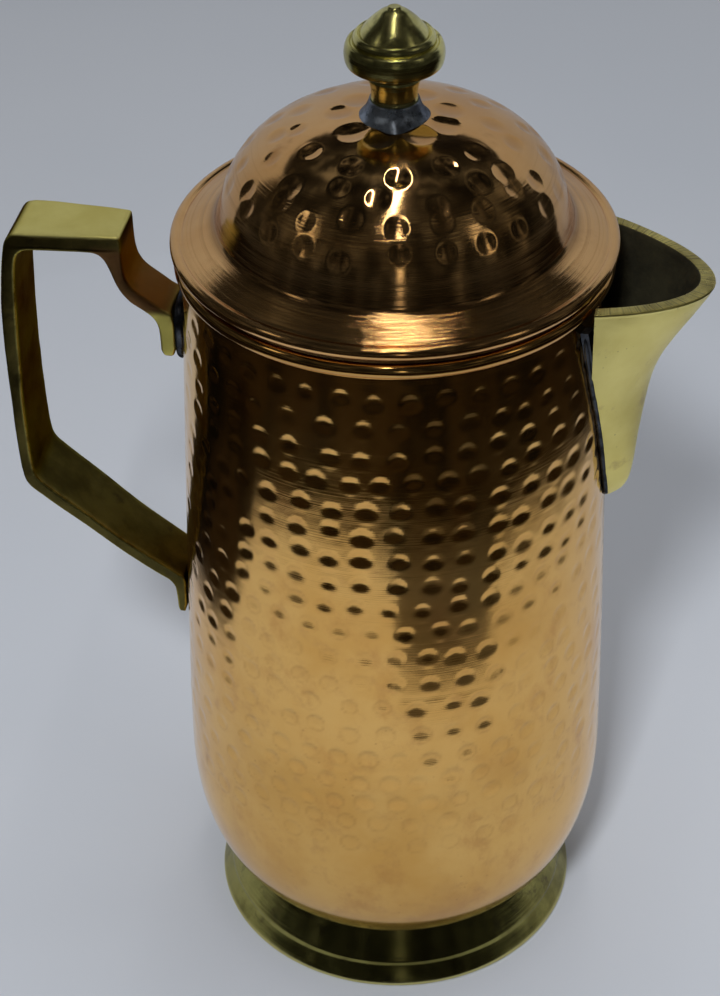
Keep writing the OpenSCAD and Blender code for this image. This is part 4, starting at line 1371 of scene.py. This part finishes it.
# small windows that only show as glints on the lid, the finial and the edges
for name, az, el, w, h, power in (("glint_left", -66, 38, 0.16, 0.24, 0.12), ("glint_right", 62, 34, 0.12, 0.28, 0.12),
                                  ("glint_front", 3, 15, 0.06, 0.30, 0.075)):
    ca, sa = math.cos(math.radians(az)), math.sin(math.radians(az))
    ce, se = math.cos(math.radians(el)), math.sin(math.radians(el))
    g = area(name, (1.2 * sa * ce, -1.2 * ca * ce, 0.12 + 1.2 * se), (0, 0, 0.12), w, h, power, (1.0, 0.97, 0.90))
    g.visible_diffuse = False


def back_wall():
    """Pale sheet standing behind and beside the jug, seen by reflections only."""
    m = Nodes("pale_wall")
    base = m.mix(m.range(m.noise(2.5, 3, 0.5), 0.35, 0.7), (0.60, 0.61, 0.65), (0.54, 0.555, 0.60))
    rough = m.range(m.noise(6, 4, 0.6), 0.3, 0.75, 0.7, 0.85, smooth=False)
    m.set(Base_Color=base, Roughness=rough, Metallic=0.0)
    rows = []
    for z in (0.0, 0.25, 0.50):
        rows += [(*turned(0.36 * math.sin(math.radians(t)), -0.36 * math.cos(math.radians(t))), z)
                 for t in np.linspace(118, 242, 53)]
    me = bpy.data.meshes.new("pale_wall")
    me.from_pydata(rows, [], grid_faces(3, 53, wrap=False).tolist())
    me.materials.append(m.mat)
    ob = bpy.data.objects.new("pale_wall", me)
    SCENE.collection.objects.link(ob)
    for k in ("camera", "diffuse", "shadow", "transmission", "volume_scatter"):
        setattr(ob, "visible_" + k, False)


back_wall()


def glowing_backdrop():
    """Plain studio sweep around the floor, seen by the camera only; it glows with painted light instead of being lit,
    dark low down and lighter higher up.
    """
    m = Nodes("glowing_backdrop")
    # painted glow, darker towards the floor
    tone = m.mix(m.range(m.axis("Z"), 0.0, 1.3), (0.030, 0.030, 0.032), (0.15, 0.153, 0.16))
    shader = next(n for n in m.mat.node_tree.nodes if n.type == "BSDF_PRINCIPLED")
    shader.inputs["Base Color"].default_value = (0, 0, 0, 1)
    shader.inputs["Roughness"].default_value = 1.0
    shader.inputs["Specular IOR Level"].default_value = 0.0
    shader.inputs["Emission Strength"].default_value = 1.0
    m.link(tone, shader.inputs["Emission Color"])
    m.mat.cycles.emission_sampling = "NONE"
    rows = []
    for r, z in ((2.8, -0.0002), (2.8, 1.2), (2.5, 2.0), (1.8, 2.7), (0.9, 3.05), (0.02, 3.15)):
        rows += [(r * math.sin(t), -r * math.cos(t), z)
                 for t in np.linspace(0, 2 * math.pi, 96, endpoint=False)]
    me = bpy.data.meshes.new("glowing_backdrop")
    me.from_pydata(rows, [], grid_faces(6, 96).tolist())
    me.materials.append(m.mat)
    ob = bpy.data.objects.new("glowing_backdrop", me)
    SCENE.collection.objects.link(ob)
    for k in ("diffuse", "glossy", "shadow", "transmission", "volume_scatter"):
        setattr(ob, "visible_" + k, False)


glowing_backdrop()

world = bpy.data.worlds.new("room")
SCENE.world = world
world.use_nodes = True
bg = world.node_tree.nodes["Background"]
sky_co = world.node_tree.nodes.new("ShaderNodeTexCoord")
sky_noise = world.node_tree.nodes.new("ShaderNodeTexNoise")
sky_noise.inputs["Scale"].default_value = 5.2
sky_noise.inputs["Detail"].default_value = 4.0
sky_noise.inputs["Roughness"].default_value = 0.6
sky = world.node_tree.nodes.new("ShaderNodeValToRGB")
sky.color_ramp.elements.new(0.5)
sky.color_ramp.elements.new(0.6)
for i, (pos, col) in enumerate(((0.36, (0.004, 0.004, 0.004, 1)), (0.53, (0.018, 0.018, 0.017, 1)),
                                (0.61, (0.075, 0.075, 0.072, 1)), (0.74, (0.24, 0.24, 0.23, 1)))):
    sky.color_ramp.elements[i].position = pos
    sky.color_ramp.elements[i].color = col
world.node_tree.links.new(sky_co.outputs["Generated"], sky_noise.inputs["Vector"])
world.node_tree.links.new(sky_noise.outputs["Fac"], sky.inputs[0])
world.node_tree.links.new(sky.outputs[0], bg.inputs[0])
bg.inputs[1].default_value = 1.0

# ------------------------------------------------------------------ camera
F_PX, DIST, ELEV, TX, TY, ROLL = 2341.82241, 0.643106788, math.radians(39.5989929), 394.999277, 598.106293, math.radians(-0.0326968969)
cam_d = bpy.data.cameras.new("camera")
cam = bpy.data.objects.new("camera", cam_d)
SCENE.collection.objects.link(cam)
target = np.array([0, 0, 0.100])
back = np.array([math.sin(TURN) * math.cos(ELEV), -math.cos(TURN) * math.cos(ELEV), math.sin(ELEV)])
C = target + back * DIST
right = np.array([math.cos(TURN), math.sin(TURN), 0.0])
fw = -back
up = np.cross(right, fw)


def rot(v, k, t):
    return v * math.cos(t) + np.cross(k, v) * math.sin(t) + k * np.dot(k, v) * (1 - math.cos(t))


yaw = math.atan((TX - 360) / F_PX)
pitch = math.atan((TY - 498) / F_PX)
fw, right = rot(fw, up, yaw), rot(right, up, yaw)
fw, up = rot(fw, right, pitch), rot(up, right, pitch)
right, up = right * math.cos(ROLL) + up * math.sin(ROLL), -right * math.sin(ROLL) + up * math.cos(ROLL)
cam.matrix_world = Matrix(((right[0], up[0], -fw[0], C[0]), (right[1], up[1], -fw[1], C[1]),
                           (right[2], up[2], -fw[2], C[2]), (0, 0, 0, 1)))
cam_d.sensor_width = 36.0
cam_d.sensor_fit = "AUTO"
cam_d.lens = F_PX * 36.0 / 996.0
cam_d.clip_start = 0.01
cam_d.clip_end = 30.0
cam_d.dof.use_dof = False
SCENE.camera = cam
SCENE.view_settings.view_transform = "Standard"
SCENE.view_settings.look = "None"
SCENE.view_settings.exposure = 0.0

bpy.context.view_layer.update()


def plain(b):
    return [[float(x) for x in row] for row in b]
